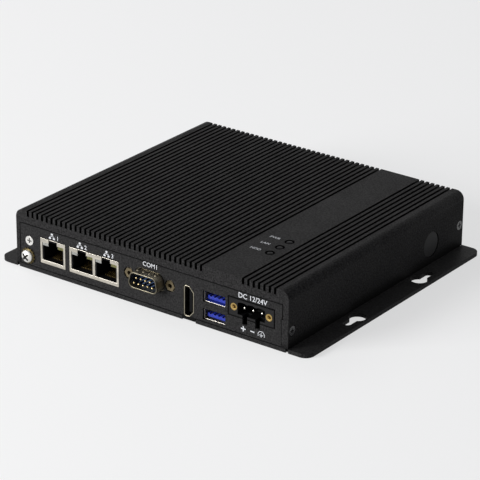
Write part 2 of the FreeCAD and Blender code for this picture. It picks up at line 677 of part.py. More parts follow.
def make_base_plate():
    """One flat plate with a flange at each side and a relief notch where each flange starts."""
    plate = body("plate_blank")
    tab = ("video_x + video_w / 2 - tab_w / 2 - fit_gap", "video_x + video_w / 2 + tab_w / 2 + fit_gap")
    notch_y = "front_y + sheet_th + fit_gap"
    front_notch = ("front_y", "front_y + relief_d")
    rear_notch = ("rear_y", "rear_y - relief_d")
    outline = [("-flange_x", "front_y")] + relief("-", *front_notch)
    outline += [(tab[0], "front_y"), (tab[0], notch_y), (tab[1], notch_y), (tab[1], "front_y")]
    outline += relief("", *front_notch)[::-1] + [("flange_x", "front_y"), ("flange_x", "rear_y")]
    outline += relief("", *rear_notch) + relief("-", *rear_notch)[::-1] + [("-flange_x", "rear_y")]
    extrude(plate, "Pad", "plate", "XY_Plane", "0", "plate_th", [outline])

    def flange_corner(edge):
        middle = edge.CenterOfMass
        outer = near(abs(middle.x), value("flange_x")) and near(abs(middle.y), value("rear_y"))
        return runs_along(edge, "z") and outer

    fillet(plate, "flange_rounding", "flange_corner_r", flange_corner)
    ends = [(x, y) for x in ("-keyhole_x", "keyhole_x") for y in ("-", "")]
    extrude(plate, "Pocket", "keyhole_entries", "XY_Plane", "0", "plate_th",
            [(x, f"{y}keyhole_entry_y", "keyhole_entry_r") for x, y in ends])
    extrude(plate, "Pocket", "keyhole_seats", "XY_Plane", "0", "plate_th",
            [(x, f"{y}keyhole_seat_y", "keyhole_slot_r") for x, y in ends])
    slots = [rectangle((f"{x} - keyhole_slot_r", f"{x} + keyhole_slot_r"), (f"{y}keyhole_entry_y", f"{y}keyhole_seat_y"))
             for x, y in ends]
    extrude(plate, "Pocket", "keyhole_slots", "XY_Plane", "0", "plate_th", slots)
    sinks = []
    for n, (x, y) in enumerate(BASE_SCREWS):
        sinks.append(tapered(f"base_sink_{n}", x, y, "0", "screw_head_r + sink_lap",
                             "screw_head_h", "screw_r + screw_gap"))
        sinks.append(prism(f"base_hole_{n}", "+z", x, y, "0", "screw_r + screw_gap", "plate_th", SHANK_SIDES))
    return cut("base_plate", plate, sinks)


def relief(side, end, depth):
    """Corners of the notch between a flange and the case, from the flange inwards."""
    outer = f"{side}right_x"
    inner = f"{side}(right_x - relief_w)"
    return [(outer, end), (outer, depth), (inner, depth), (inner, end)]


def panel_outline(foot):
    """Outline of an end panel inside the housing's end, with the corners of its foot given."""
    left = "inner_left + fit_gap"
    low_right = "inner_right - fit_gap"
    top_right = "inner_right_top - fit_gap"
    head = "web_low - fit_gap"
    return foot + [(low_right, "plate_th + foot_gap"), (low_right, "step_z + fit_gap"), (top_right, "step_z + fit_gap"),
                   (top_right, head), (left, head), (left, "plate_th + foot_gap")]


def add_ears(panel, low, high, screw_y, ear_z):
    """Ears folded back along both walls, tapped for the side screws."""
    rows = (("left", "inner_left + fit_gap", "inner_left + fit_gap + sheet_th"),
            ("right", "inner_right - fit_gap - sheet_th", "inner_right - fit_gap"))
    middle = f"plate_th + {ear_z}"
    for side, near_x, far_x in rows:
        wire = rectangle((low, high), (f"{middle} - ear_half", f"{middle} + ear_half"))
        extrude(panel, "Pad", f"ear_{side}", "YZ_Plane", near_x, far_x, [wire])
        extrude(panel, "Pocket", f"ear_hole_{side}", "YZ_Plane", near_x, far_x,
                [shank(screw_y, middle, "screw_r + screw_gap")])


def serial_outline(grow):
    """The D shape of the serial port, narrow side up, grown all round."""
    wide = f"(serial_shell_w / 2 + {grow})"
    narrow = f"(serial_shell_w / 2 - serial_slope + {grow})"
    half = f"(serial_shell_h / 2 + {grow})"
    return [(f"serial_x - {wide}", f"serial_z - {half}"), (f"serial_x + {wide}", f"serial_z - {half}"),
            (f"serial_x + {narrow}", f"serial_z + {half}"), (f"serial_x - {narrow}", f"serial_z + {half}")]


def video_outline(inset):
    """The video port's outline: full height at the left, sloped towards its narrow right side."""
    inset = f"({inset})"
    left = f"video_x + {inset}"
    corner = f"video_x + video_edge + 0.4 * {inset}"
    taper = f"video_x + video_taper_x - 0.4 * {inset}"
    right = f"video_x + video_w - {inset}"
    tall = f"(video_h / 2 - {inset})"
    short = f"(video_h / 2 - video_taper_h - 0.4 * {inset})"
    edge = f"({tall} - video_edge + 0.4 * {inset})"
    lower = [(left, f"video_z - {edge}"), (corner, f"video_z - {tall}"), (taper, f"video_z - {tall}"),
             (right, f"video_z - {short}")]
    upper = [(right, f"video_z + {short}"), (taper, f"video_z + {tall}"), (corner, f"video_z + {tall}"),
             (left, f"video_z + {edge}")]
    return lower + upper


def header_keys():
    """Coding slots under the power header, as places on X and Z."""
    return [((f"header_x {side} key_x - key_w / 2", f"header_x {side} key_x + key_w / 2"),
             ("header_low - key_drop", "header_cavity_z")) for side in ("-", "+")]


def make_front_panel():
    """Folded sheet with a tight cut-out for every port and a tab under the video port."""
    panel = body("front_panel_sheet")
    tab = ("video_x + video_w / 2 - tab_w / 2", "video_x + video_w / 2 + tab_w / 2")
    foot = [(tab[0], "plate_th + foot_gap"), (tab[0], "plate_th - tab_drop"),
            (tab[1], "plate_th - tab_drop"), (tab[1], "plate_th + foot_gap")]
    extrude(panel, "Pad", "front_sheet", "XZ_Plane", "front_y", "panel_in_y", [panel_outline(foot)])
    add_ears(panel, "panel_in_y", "panel_in_y + ear_l", ENDS["front"][0], "front_ear_z")
    jack_z = ("lan_low - fit_gap", "lan_top + fit_gap")
    openings = [
        rectangle(("lan_x - fit_gap", "lan_x + lan_w + fit_gap"), jack_z),
        rectangle(("lan_dual_x - fit_gap", "lan_dual_x + lan_dual_w + fit_gap"), jack_z),
        video_outline("-fit_gap"),
        shank("earth_x", "earth_height", "earth_r + screw_gap"),
        ("serial_x - serial_screw_pitch / 2", "serial_z", "jackscrew_r + jackscrew_gap"),
        ("serial_x + serial_screw_pitch / 2", "serial_z", "jackscrew_r + jackscrew_gap"),
    ]
    half_w = "(usb_open_w / 2 + usb_lap)"
    half_h = "(usb_open_h / 2 + usb_lap)"
    for z in ("usb_upper_z", "usb_upper_z - usb_pitch"):
        openings.append(rectangle((f"usb_x + usb_w / 2 - {half_w}", f"usb_x + usb_w / 2 + {half_w}"),
                                  (f"{z} - {half_h}", f"{z} + {half_h}")))
    extrude(panel, "Pocket", "port_openings", "XZ_Plane", "front_y", "panel_in_y", openings)
    left, right = ("header_x - header_w / 2 - header_clear", "header_x + header_w / 2 + header_clear")
    low, high = ("header_low - header_clear", "header_z + header_h / 2 + header_clear")
    extrude(panel, "Pocket", "header_opening", "XZ_Plane", "front_y", "panel_in_y",
            [rectangle((left, right), (low, high))])
    keys = [rectangle(x, (z[0], "header_low")) for x, z in header_keys()]
    extrude(panel, "Pocket", "key_openings", "XZ_Plane", "front_y", "panel_in_y", keys)
    sink = countersink("panel_sink_front", "-y", "panel_screw_x", "front_y", "panel_screw_height", "sheet_th")
    opening = serial_plug("serial_opening", "serial_clear", "front_y", "panel_in_y")
    return cut("front_panel", panel, [sink, opening])


def make_rear_panel():
    panel = body("rear_panel")
    extrude(panel, "Pad", "rear_sheet", "XZ_Plane", "rear_in_y", "rear_y", [panel_outline([])])
    add_ears(panel, "rear_in_y - ear_l", "rear_in_y", ENDS["rear"][0], "rear_ear_z")
    holes = [shank(f"{side}antenna_x", "plate_th + antenna_z", "antenna_hole_r") for side in ("-", "")]
    extrude(panel, "Pocket", "antenna_holes", "XZ_Plane", "rear_in_y", "rear_y", holes)
    return panel


def make_case_fasteners():
    side = []
    for name, (facing, face) in SIDES.items():
        for end, (y, z) in ENDS.items():
            side.append(flat_screw(f"side_screw_{name}_{end}", facing, face, y, f"plate_th + {z}", "screw_l"))
    front = flat_screw("panel_screw", "-y", "panel_screw_x", "front_y", "panel_screw_height", "screw_l")
    base = [base_screw(f"base_screw_{n}", x, y) for n, (x, y) in enumerate(BASE_SCREWS)]
    return [group("side_screws", side), front, group("base_screws", base)]


def base_screw(name, x, y):
    """A countersunk screw from below, flush with the underside of the base plate."""
    head = tapered(name + "_head", x, y, "0", "screw_head_r", "screw_head_h", "screw_r")
    stem = prism(name + "_stem", "+z", x, y, "screw_head_h / 2", "screw_r", "screw_l - screw_head_h / 2", SHANK_SIDES)
    spans = ("recess_span / 2", "recess_blade / 2")
    arms = [box(f"{name}_arm_{n}", (f"{x} - {wide}", f"{x} + {wide}"), (f"{y} - {deep}", f"{y} + {deep}"),
                ("0", "recess_depth")) for n, (wide, deep) in enumerate((spans, spans[::-1]))]
    return cut(name, join(name + "_blank", [head, stem]), arms)


def make_earth_terminal():
    """Pan-head screw over a toothed lock washer."""
    name = "ground_screw"
    profile = [("0", "earth_head_h"), ("earth_head_r * 0.62", "earth_head_h"),
               ("earth_head_r", "earth_head_h * 0.45"), ("earth_head_r", "0"), ("0", "0")]
    screw = turned(name, "-y", "earth_x", "front_y - washer_th", "earth_height", profile)
    extrude(screw, "Pad", name + "_shank", "XY_Plane", "-earth_l", "0", [shank("0", "0", "earth_r")])
    cross_recess(screw, name + "_recess", "earth_head_h", "earth_recess_span", "earth_recess_blade")
    washer = body("ground_washer")
    teeth = int(value("washer_teeth"))
    corners = []
    for n in range(2 * teeth):
        angle = math.pi * n / teeth
        radius = "washer_r" if n % 2 else "(washer_r - washer_tooth)"
        corners.append((f"earth_x + {radius} * ({math.cos(angle):.6f})", f"earth_height + {radius} * ({math.sin(angle):.6f})"))
    extrude(washer, "Pad", "washer_star", "XZ_Plane", "front_y - washer_th", "front_y",
            [corners, shank("earth_x", "earth_height", "earth_r + screw_gap")])
    return [screw, washer]


def make_plugs():
    height = "plate_th + plug_z"
    face = rod("side_plug_face", "+x", "inner_right", "plug_y", height, "plug_r", "wall_right - plug_back")
    rim = prism("side_plug_rim", "+x", "inner_right - plug_rim_th", "plug_y", height, "plug_r + plug_rim",
                "plug_rim_th", CELL_SIDES)
    side = join("side_hole_plug", [face, rim])
    stem = "antenna_hole_r - screw_gap"
    antenna = []
    for n, mark in enumerate(("-", "")):
        plug = body(f"antenna_plug_{n}")
        extrude(plug, "Pad", f"antenna_cap_{n}", "XY_Plane", "0", "antenna_cap_th", [("0", "0", "antenna_cap_r")])
        extrude(plug, "Pad", f"antenna_stem_{n}", "XY_Plane", "-antenna_stem_l", "0", [shank("0", "0", stem)])
        antenna.append(put(plug, f"{mark}antenna_x", "rear_y", "plate_th + antenna_z", "+y"))
    return [side, group("antenna_hole_plugs", antenna)]


# ---------------------------------------------------------------- network jacks

def jack_middles(left, count):
    return [f"{left} + lan_w / 2 + {n} * lan_pitch" for n in range(count)]


def make_network_jack(name, left, width, count):
    """A shielded jack block, hung under the board: shield, insert, contact wires, lamp windows."""
    right = f"{left} + {width}"
    return [make_jack_shield(name, left, right, count), make_jack_insert(name, left, right, count),
            make_jack_wires(name, left, count), make_jack_windows(name, left, count)]


def make_jack_shield(name, left, right, count):
    shield = body(name + "_shield")
    face = [(left, "lan_low"), (right, "lan_low"), (right, "lan_top")]
    for middle in reversed(jack_middles(left, count)):
        half = "lan_open_w / 2"
        notch = "lan_notch_w / 2"
        face += [(f"{middle} + {notch}", "lan_top"), (f"{middle} + {notch}", "lan_open_top"),
                 (f"{middle} + {half}", "lan_open_top"), (f"{middle} + {half}", "lan_open_low"),
                 (f"{middle} - {half}", "lan_open_low"), (f"{middle} - {half}", "lan_open_top"),
                 (f"{middle} - {notch}", "lan_open_top"), (f"{middle} - {notch}", "lan_top")]
    face += [(left, "lan_top")]
    outer = rectangle((left, right), ("lan_low", "lan_top"))
    inner = rectangle((f"{left} + lan_skin", f"{right} - lan_skin"), ("lan_low + lan_skin", "lan_top - lan_skin"))
    back = "front_y + lan_depth"
    extrude(shield, "Pad", name + "_face", "XZ_Plane", "front_y", "front_y + lan_skin", [face])
    extrude(shield, "Pad", name + "_sleeve", "XZ_Plane", "front_y + lan_skin", back, [outer, inner])
    extrude(shield, "Pad", name + "_rear_wall", "XZ_Plane", back, f"{back} + lan_skin", [outer])
    tabs = [rectangle((f"{x} - 0.6", f"{x} + 0.6"), ("front_y + lan_depth / 2", "front_y + lan_depth / 2 + 2"))
            for x in (f"{left} + 1.5", f"{right} - 1.5")]
    extrude(shield, "Pad", name + "_tabs", "XY_Plane", "lan_top - lan_skin", "board_low", tabs)
    return shield


def make_jack_insert(name, left, right, count):
    """Moulded insert that fills the shield, with the stepped plug cavity and lamp window pockets."""
    insert = body(name + "_insert")
    gap = "lan_skin + screw_gap"
    front = "front_y + lan_skin"
    block = rectangle((f"{left} + {gap}", f"{right} - ({gap})"), (f"lan_low + {gap}", f"lan_top - ({gap})"))
    extrude(insert, "Pad", name + "_block", "XZ_Plane", front, "front_y + lan_depth", [block])
    cavities = []
    pockets = []
    for middle in jack_middles(left, count):
        half = "lan_cavity_w / 2"
        notch = "lan_notch_w / 2"
        floor = "lan_open_low + screw_gap"
        step = f"{floor} + lan_cavity_h"
        head = "lan_notch_top - 0.8"
        cavities.append([(f"{middle} - {half}", floor), (f"{middle} + {half}", floor), (f"{middle} + {half}", step),
                         (f"{middle} + {notch}", step), (f"{middle} + {notch}", head), (f"{middle} - {notch}", head),
                         (f"{middle} - {notch}", step), (f"{middle} - {half}", step)])
        for low, high in window_places(middle):
            pockets.append(rectangle((low, high), ("lan_open_top - lan_window_h", "lan_open_top")))
    extrude(insert, "Pocket", name + "_cavity", "XZ_Plane", front, "front_y + lan_cavity_depth", cavities)
    extrude(insert, "Pocket", name + "_window_pockets", "XZ_Plane", front,
            f"{front} + lan_window_depth", pockets)
    return insert


def window_places(middle):
    """The two lamp windows flank the latch notch inside the shield's opening."""
    inner = "lan_notch_w / 2 + 0.3"
    outer = "lan_open_w / 2"
    return [(f"{middle} - ({outer})", f"{middle} - ({inner})"), (f"{middle} + {inner}", f"{middle} + {outer}")]


def make_jack_wires(name, left, count):
    wires = []
    for port, middle in enumerate(jack_middles(left, count)):
        for n in range(8):
            wire = doc.addObject("Part::Box", f"{name}_wire_{port}_{n}")
            wire.setExpression("Length", dims("lan_wire_w"))
            wire.setExpression("Width", dims("lan_wire_l"))
            wire.setExpression("Height", dims("lan_wire_th"))
            put(wire, f"{middle} + ({n} - 3.5) * lan_wire_pitch - lan_wire_w / 2",
                "front_y + lan_cavity_depth - lan_wire_l - 1.5", "lan_open_low + screw_gap")
            wire.Placement.Rotation = FreeCAD.Rotation(X_AXIS, 20)
            wires.append(wire)
    return group(name + "_contacts", wires)


def make_jack_windows(name, left, count):
    windows = []
    for port, middle in enumerate(jack_middles(left, count)):
        for n, (low, high) in enumerate(window_places(middle)):
            windows.append(box(f"{name}_window_{port}_{n}", (low, high),
                               ("front_y + lan_skin", "front_y + lan_skin + lan_window_depth"),
                               ("lan_open_top - lan_window_h", "lan_open_top")))
    return group(name + "_windows", windows)


# ---------------------------------------------------------------- serial port

def make_serial_port():
    return [make_serial_shell(), make_serial_insulator(), make_serial_pins(), make_jackscrews()]


def serial_plug(name, grow, low, high):
    """The D shape with rounded corners, as a body between two places on Y."""
    plug = body(name)
    extrude(plug, "Pad", name + "_pad", "XZ_Plane", low, high, [serial_outline(grow)])
    fillet(plug, name + "_rounding", f"serial_shell_r + {grow}", lambda edge: runs_along(edge, "y"))
    return plug


def make_serial_shell():
    """Drawn steel shell: a flange behind the panel and the D-shaped sleeve through it."""
    back = "panel_in_y + serial_flange_th"
    sleeve = serial_plug("serial_sleeve", "0", "front_y - serial_reach", "panel_in_y")
    flange = rectangle(("serial_x - serial_w / 2", "serial_x + serial_w / 2"),
                       ("serial_z - serial_flange_h / 2", "serial_z + serial_flange_h / 2"))
    extrude(sleeve, "Pad", "serial_flange", "XZ_Plane", "panel_in_y", back, [flange])
    holes = [shank(f"serial_x {side} serial_screw_pitch / 2", "serial_z", "jackscrew_shank_r + screw_gap")
             for side in ("-", "+")]
    extrude(sleeve, "Pocket", "serial_flange_holes", "XZ_Plane", "panel_in_y", back, holes)
    bore = serial_plug("serial_bore", "(-serial_shell_wall)", "front_y - serial_reach", back)
    return cut("serial_shell", sleeve, [bore])


def serial_pin_places():
    """Nine pins: four in the upper row and five in the lower row."""
    upper = [(f"serial_x + ({n} - 1.5) * serial_pin_pitch", "serial_z + serial_row_half") for n in range(4)]
    lower = [(f"serial_x + ({n} - 2) * serial_pin_pitch", "serial_z - serial_row_half") for n in range(5)]
    return upper + lower


def make_serial_insulator():
    back = "panel_in_y + serial_flange_th"
    insulator = serial_plug("serial_insulator", "(-serial_shell_wall - screw_gap)", "front_y", back)
    block = rectangle(("serial_x - serial_block_w / 2", "serial_x + serial_block_w / 2"),
                      ("serial_z - serial_flange_h / 2 + 1", "board_low"))
    extrude(insulator, "Pad", "insulator_block", "XZ_Plane", back, f"{back} + serial_block_d", [block])
    return insulator


def make_serial_pins():
    """Pins that stand on the insulator's face, inside the shell."""
    return group("serial_pins", [prism(f"serial_pin_{n}", "-y", x, "front_y", z, "serial_pin_r", "serial_pin_l", SHANK_SIDES)
                                 for n, (x, z) in enumerate(serial_pin_places())])


def make_jackscrews():
    screws = []
    for n, side in enumerate(("-", "+")):
        screw = body(f"jackscrew_{n}")
        extrude(screw, "Pad", f"jackscrew_head_{n}", "XY_Plane", "0", "jackscrew_l", [ring("0", "0", "jackscrew_r", 6)])
        extrude(screw, "Pad", f"jackscrew_shank_{n}", "XY_Plane", "-jackscrew_shank_l", "0",
                [shank("0", "0", "jackscrew_shank_r")])
        extrude(screw, "Pocket", f"jackscrew_bore_{n}", "XY_Plane", "jackscrew_l - jackscrew_bore_l", "jackscrew_l",
                [("0", "0", "jackscrew_bore_r")])
        screws.append(put(screw, f"serial_x {side} serial_screw_pitch / 2", "panel_in_y", "serial_z", "-y"))
    return group("serial_jackscrews", screws)


# ---------------------------------------------------------------- video port and usb stack

def make_video_port():
    """Port that stands on its side, with its wide side to the left."""
    shell = body("video_port_shell")
    back = "front_y + video_depth"
    extrude(shell, "Pad", "video_sleeve", "XZ_Plane", "front_y", back, [video_outline("0"), video_outline("video_wall")])
    extrude(shell, "Pad", "video_rear_wall", "XZ_Plane", back, f"{back} + video_wall", [video_outline("0")])
    leg = rectangle(("video_x + 1", "video_x + 3"), ("front_y + video_depth / 2", "front_y + video_depth / 2 + 2"))
    extrude(shell, "Pad", "video_leg", "XY_Plane", "video_z + video_h / 2 - video_wall", "board_low", [leg])
    tongue = body("video_port_tongue")
    gap = "video_wall + screw_gap"
    extrude(tongue, "Pad", "video_block", "XZ_Plane", f"{back} - 2.5", back, [video_outline(gap)])
    middle = "video_x + video_w / 2"
    blade = rectangle((f"{middle} - video_tongue_th / 2", f"{middle} + video_tongue_th / 2"),
                      ("video_z - video_h / 2 + video_tongue_inset", "video_z + video_h / 2 - video_tongue_inset"))
    extrude(tongue, "Pad", "video_blade", "XZ_Plane", "front_y + video_tongue_back", f"{back} - 2.5", [blade])
    return [shell, tongue]


def make_usb_stack():
    """Two openings in one shield, on one moulded insert with a tongue for each."""
    left, right = ("usb_x", "usb_x + usb_w")
    middle = "usb_x + usb_w / 2"
    back = "panel_in_y + usb_depth"
    levels = ("usb_upper_z", "usb_upper_z - usb_pitch")
    outer = rectangle((left, right), ("usb_low", "usb_top"))
    inner = rectangle((f"{left} + usb_skin", f"{right} - usb_skin"), ("usb_low + usb_skin", "usb_top - usb_skin"))
    openings = [rectangle((f"{middle} - usb_open_w / 2", f"{middle} + usb_open_w / 2"),
                          (f"{z} - usb_open_h / 2", f"{z} + usb_open_h / 2")) for z in levels]
    shell = body("usb_stack_shell")
    extrude(shell, "Pad", "usb_face", "XZ_Plane", "panel_in_y", "usb_face_y", [outer] + openings)
    extrude(shell, "Pad", "usb_sleeve", "XZ_Plane", "usb_face_y", back, [outer, inner])
    extrude(shell, "Pad", "usb_rear_wall", "XZ_Plane", back, f"{back} + usb_skin", [outer])
    tabs = [rectangle((f"{x} - 0.6", f"{x} + 0.6"), ("front_y + usb_depth / 2", "front_y + usb_depth / 2 + 2"))
            for x in (f"{left} + 1.2", f"{right} - 1.2")]
    extrude(shell, "Pad", "usb_tabs", "XY_Plane", "usb_top - usb_skin", "board_low", tabs)

    insert = body("usb_insert_blank")
    gap = "usb_skin + screw_gap"
    block_front = "usb_face_y + usb_tongue_back + usb_tongue_l"
    block = rectangle((f"{left} + {gap}", f"{right} - ({gap})"), (f"usb_low + {gap}", f"usb_top - ({gap})"))
    extrude(insert, "Pad", "usb_block", "XZ_Plane", block_front, back, [block])
    between = rectangle((f"{left} + {gap}", f"{right} - ({gap})"),
                        ("usb_upper_z - usb_pitch + usb_open_h / 2", "usb_upper_z - usb_open_h / 2"))
    extrude(insert, "Pad", "usb_divider", "XZ_Plane", "usb_face_y", block_front, [between])
    tongues = []
    grooves = []
    contacts = []
    front = "usb_face_y + usb_tongue_back"
    for level, z in enumerate(levels):
        low = f"{z} - usb_open_h / 2 + usb_tongue_low"
        top = f"{low} + usb_tongue_th"
        tongues.append(rectangle((f"{middle} - usb_tongue_w / 2", f"{middle} + usb_tongue_w / 2"), (low, top)))
        for n in range(4):
            x = f"{middle} + ({n} - 1.5) * usb_groove_pitch"
            span = (f"{x} - usb_groove_w / 2", f"{x} + usb_groove_w / 2")
            grooves.append(box(f"usb_groove_{level}_{n}", span, (front, block_front), (f"{top} - usb_groove_h", top)))
            strip = (f"{x} - usb_groove_w / 2 + 0.15", f"{x} + usb_groove_w / 2 - 0.15")
            contacts.append(box(f"usb_contact_{level}_{n}", strip, (f"{front} + 1.2", block_front),
                                (f"{top} - usb_groove_h", f"{top} - usb_groove_h + usb_contact_th")))
    extrude(insert, "Pad", "usb_tongues", "XZ_Plane", front, block_front, tongues)
    return [shell, cut("usb_stack_insert", insert, grooves), group("usb_stack_contacts", contacts)]


# ---------------------------------------------------------------- power header

def header_cavity():
    """Outline of the plug cavity: square below, with an arched lobe over each pole."""
    half = "header_cavity_w / 2"
    top = "header_cavity_z + header_cavity_h"
    corners = [(f"header_x - {half}", "header_cavity_z"), (f"header_x + {half}", "header_cavity_z"),
               (f"header_x + {half}", top)]
    arch = math.asin(value("header_pole") / 2 / value("header_lobe_r"))
    for pole in (1, 0, -1):
        for step in range(5):
            angle = arch * (0.92 - 0.46 * step)
            rise = math.cos(angle) - math.cos(arch)
            corners.append((f"header_x + {pole} * header_pole + header_lobe_r * ({math.sin(angle):.6f})",
                            f"{top} + header_lobe_r * {rise:.6f}"))
    return corners + [(f"header_x - {half}", top)]


def make_power_header():
    """Pluggable power header with a screw flange, three poles and two coding slots."""
    header = body("header_blank")
    outer = rectangle(("header_x - header_w / 2", "header_x + header_w / 2"), ("header_low", "board_low"))
    extrude(header, "Pad", "header_block", "XZ_Plane", "front_y", "front_y + header_depth", [outer])
    extrude(header, "Pocket", "header_cavity", "XZ_Plane", "front_y", "front_y + header_cavity_depth",
            [header_cavity()])
    slots = [rectangle(x, ("header_low - 1", "header_cavity_z + 0.2")) for x, z in header_keys()]
    extrude(header, "Pocket", "header_slots", "XZ_Plane", "front_y", "front_y + header_cavity_depth / 2", slots)
    pin = ("header_z - header_pin_w / 2", "header_z + header_pin_w / 2")
    pins = []
    tools = []
    for n in range(3):
        x = f"header_x + ({n} - 1) * header_pole"
        across = (f"{x} - header_pin_w / 2", f"{x} + header_pin_w / 2")
        tail_y = ("front_y + header_depth", "front_y + header_depth + header_pin_w")
        blade = box(f"power_pin_{n}", across, ("front_y + header_pin_back", tail_y[0]), pin)
        tail = box(f"power_tail_{n}", across, tail_y, (pin[0], "board_low"))
        pins.append(join(f"power_contact_{n}", [blade, tail]))
        tools.append(box(f"power_pin_hole_{n}", across, ("front_y + header_cavity_depth", tail_y[0]), pin))
    bushes = []
    for n, side in enumerate(("-", "+")):
        x = f"header_x {side} header_screw_pitch / 2"
        tools.append(prism(f"bush_hole_{n}", "+y", x, "front_y", "header_z", "header_bush_r", "header_bush_l", BUSH_SIDES))
        bush = body(f"bush_{n}")
        extrude(bush, "Pad", f"bush_barrel_{n}", "XY_Plane", "-header_bush_l", "0",
                [ring("0", "0", "header_bush_r", BUSH_SIDES)])
        extrude(bush, "Pocket", f"bush_bore_{n}", "XY_Plane", "-header_bush_l * 0.85", "0",
                [("0", "0", "header_bush_bore_r")])
        bushes.append(put(bush, x, "front_y", "header_z", "-y"))
    return [cut("power_header_body", header, tools), group("power_header_pins", pins),
            group("power_header_bushes", bushes)]


# ---------------------------------------------------------------- inside

def under_board(height):
    return (f"board_low - ({height})", "board_low")


def make_mainboard():
    board = box("board_blank", ("board_left", "board_right"), ("board_front", "board_rear"),
                ("board_low", "board_top"))
    holes = [prism(f"board_hole_{n}", "+z", x, y, "board_low", "board_screw_r + screw_gap", "board_th", SHANK_SIDES)
             for n, (x, y) in enumerate(SPACERS)]
    return cut("mainboard", board, holes)


def make_board_fixings():
    """Hexagonal spacers under the housing's top, and the screws that hold the board to them."""
    spacers = []
    screws = []
    for n, (x, y) in enumerate(SPACERS):
        spacer = body(f"board_spacer_{n}")
        extrude(spacer, "Pad", f"spacer_barrel_{n}", "XY_Plane", "0", "spacer_h",
                [ring("0", "0", "spacer_r", 6), shank("0", "0", "board_screw_r + screw_gap")])
        spacers.append(put(spacer, x, y, "board_top"))
        screw = body(f"board_screw_{n}")
        extrude(screw, "Pad", f"board_screw_head_{n}", "XY_Plane", "0", "board_screw_head_h",
                [shank("0", "0", "board_screw_head_r")])
        extrude(screw, "Pad", f"board_screw_shank_{n}", "XY_Plane", "-(board_th + spacer_h * 0.8)", "0",
                [shank("0", "0", "board_screw_r")])
        screws.append(put(screw, x, y, "board_low", "-z"))
    return [group("board_spacers", spacers), group("board_screws", screws)]


def make_processor():
    span = ("processor_x - processor_w / 2", "processor_x + processor_w / 2")
    depth = ("processor_y - processor_w / 2", "processor_y + processor_w / 2")
    chip = box("processor", span, depth, ("board_top", "board_top + processor_h"))
    pad = box("thermal_pad", (f"{span[0]} + 1", f"{span[1]} - 1"), (f"{depth[0]} + 1", f"{depth[1]} - 1"),
              ("board_top + processor_h", "web_low"))
    return [chip, pad]


def make_network_chips():
    chips = []
    for n, x in enumerate(jack_middles("lan_x", 1) + jack_middles("lan_dual_x", 2)):
        chips.append(box(f"network_chip_{n}", (f"{x} - network_chip_w / 2", f"{x} + network_chip_w / 2"),
                         ("front_y + network_chip_back", "front_y + network_chip_back + network_chip_w"),
                         under_board("network_chip_h")))
    return group("network_chips", chips)


def make_memory():
    """A module in a socket with two spring arms, parallel to the board."""
    left, right = ("memory_x - memory_w / 2", "memory_x + memory_w / 2")
    back = "rear_y - memory_rear_in"
    front = f"{back} - memory_socket_d"
    arm = f"{front} - memory_arm_l"
    wide_left, wide_right = (f"{left} - memory_arm_w - screw_gap", f"{right} + memory_arm_w + screw_gap")
    socket = body("memory_socket")
    outline = [(wide_left, arm), (f"{left} - screw_gap", arm), (f"{left} - screw_gap", front),
               (f"{right} + screw_gap", front), (f"{right} + screw_gap", arm), (wide_right, arm),
               (wide_right, back), (wide_left, back)]
    extrude(socket, "Pad", "memory_socket_frame", "XY_Plane", "board_low - memory_socket_h", "board_low", [outline])
    level = ("board_low - memory_drop - memory_th", "board_low - memory_drop")
    slot = rectangle((left, right), level)
    extrude(socket, "Pocket", "memory_slot", "XZ_Plane", front, f"{front} + memory_grip", [slot])
    tip = f"{front} + memory_grip"
    module = box("memory_module", (left, right), (f"{tip} - memory_d", tip), level)
    return [socket, module]


def make_storage():
    """A storage card in its socket, its far end screwed to a standoff."""
    left, right = ("storage_x - storage_w / 2", "storage_x + storage_w / 2")
    far = "rear_y - storage_rear_in"
    root = f"{far} - storage_l"
    level = ("board_low - storage_drop - storage_th", "board_low - storage_drop")
    socket = body("storage_socket")
    frame = rectangle((left, right), ("board_low - storage_socket_h", "board_low"))
    mouth = f"{root} + storage_grip"
    extrude(socket, "Pad", "storage_socket_block", "XZ_Plane", f"{mouth} - storage_socket_d", mouth, [frame])
    extrude(socket, "Pocket", "storage_slot", "XZ_Plane", root, mouth, [rectangle((left, right), level)])
    blank = box("storage_card_blank", (left, right), (root, far), level)
    notch = prism("storage_card_notch", "+z", "storage_x", far, level[0], "standoff_bore_r + screw_gap",
                  "storage_th", SHANK_SIDES)
    card = cut("storage_card", blank, [notch])
    standoff = body("storage_standoff")
    extrude(standoff, "Pad", "standoff_barrel", "XY_Plane", level[1], "board_low",
            [ring("storage_x", far, "standoff_r", 6), shank("storage_x", far, "standoff_bore_r + screw_gap")])
    screw = body("storage_screw")
    extrude(screw, "Pad", "storage_screw_head", "XY_Plane", f"{level[0]} - storage_screw_head_h", level[0],
            [shank("storage_x", far, "storage_screw_head_r")])
    extrude(screw, "Pad", "storage_screw_shank", "XY_Plane", level[0], "board_low - storage_drop / 4",
            [shank("storage_x", far, "standoff_bore_r")])
    return [socket, card, standoff, screw]


def make_coin_cell():
    """A coin cell in a cup-shaped holder under the board."""
    y = "rear_y - cell_rear_in"
    holder = body("coin_cell_holder")
    extrude(holder, "Pad", "holder_cup", "XY_Plane", "board_low - holder_floor - cell_h", "board_low",
            [ring("cell_x", y, "cell_r + holder_wall", CELL_SIDES)])
    extrude(holder, "Pocket", "holder_hollow", "XY_Plane", "board_low - holder_floor - cell_h",
            "board_low - holder_floor", [ring("cell_x", y, "cell_r + screw_gap", CELL_SIDES)])
    cell = prism("coin_cell", "-z", "cell_x", y, "board_low - holder_floor", "cell_r", "cell_h", CELL_SIDES)
    return [holder, cell]


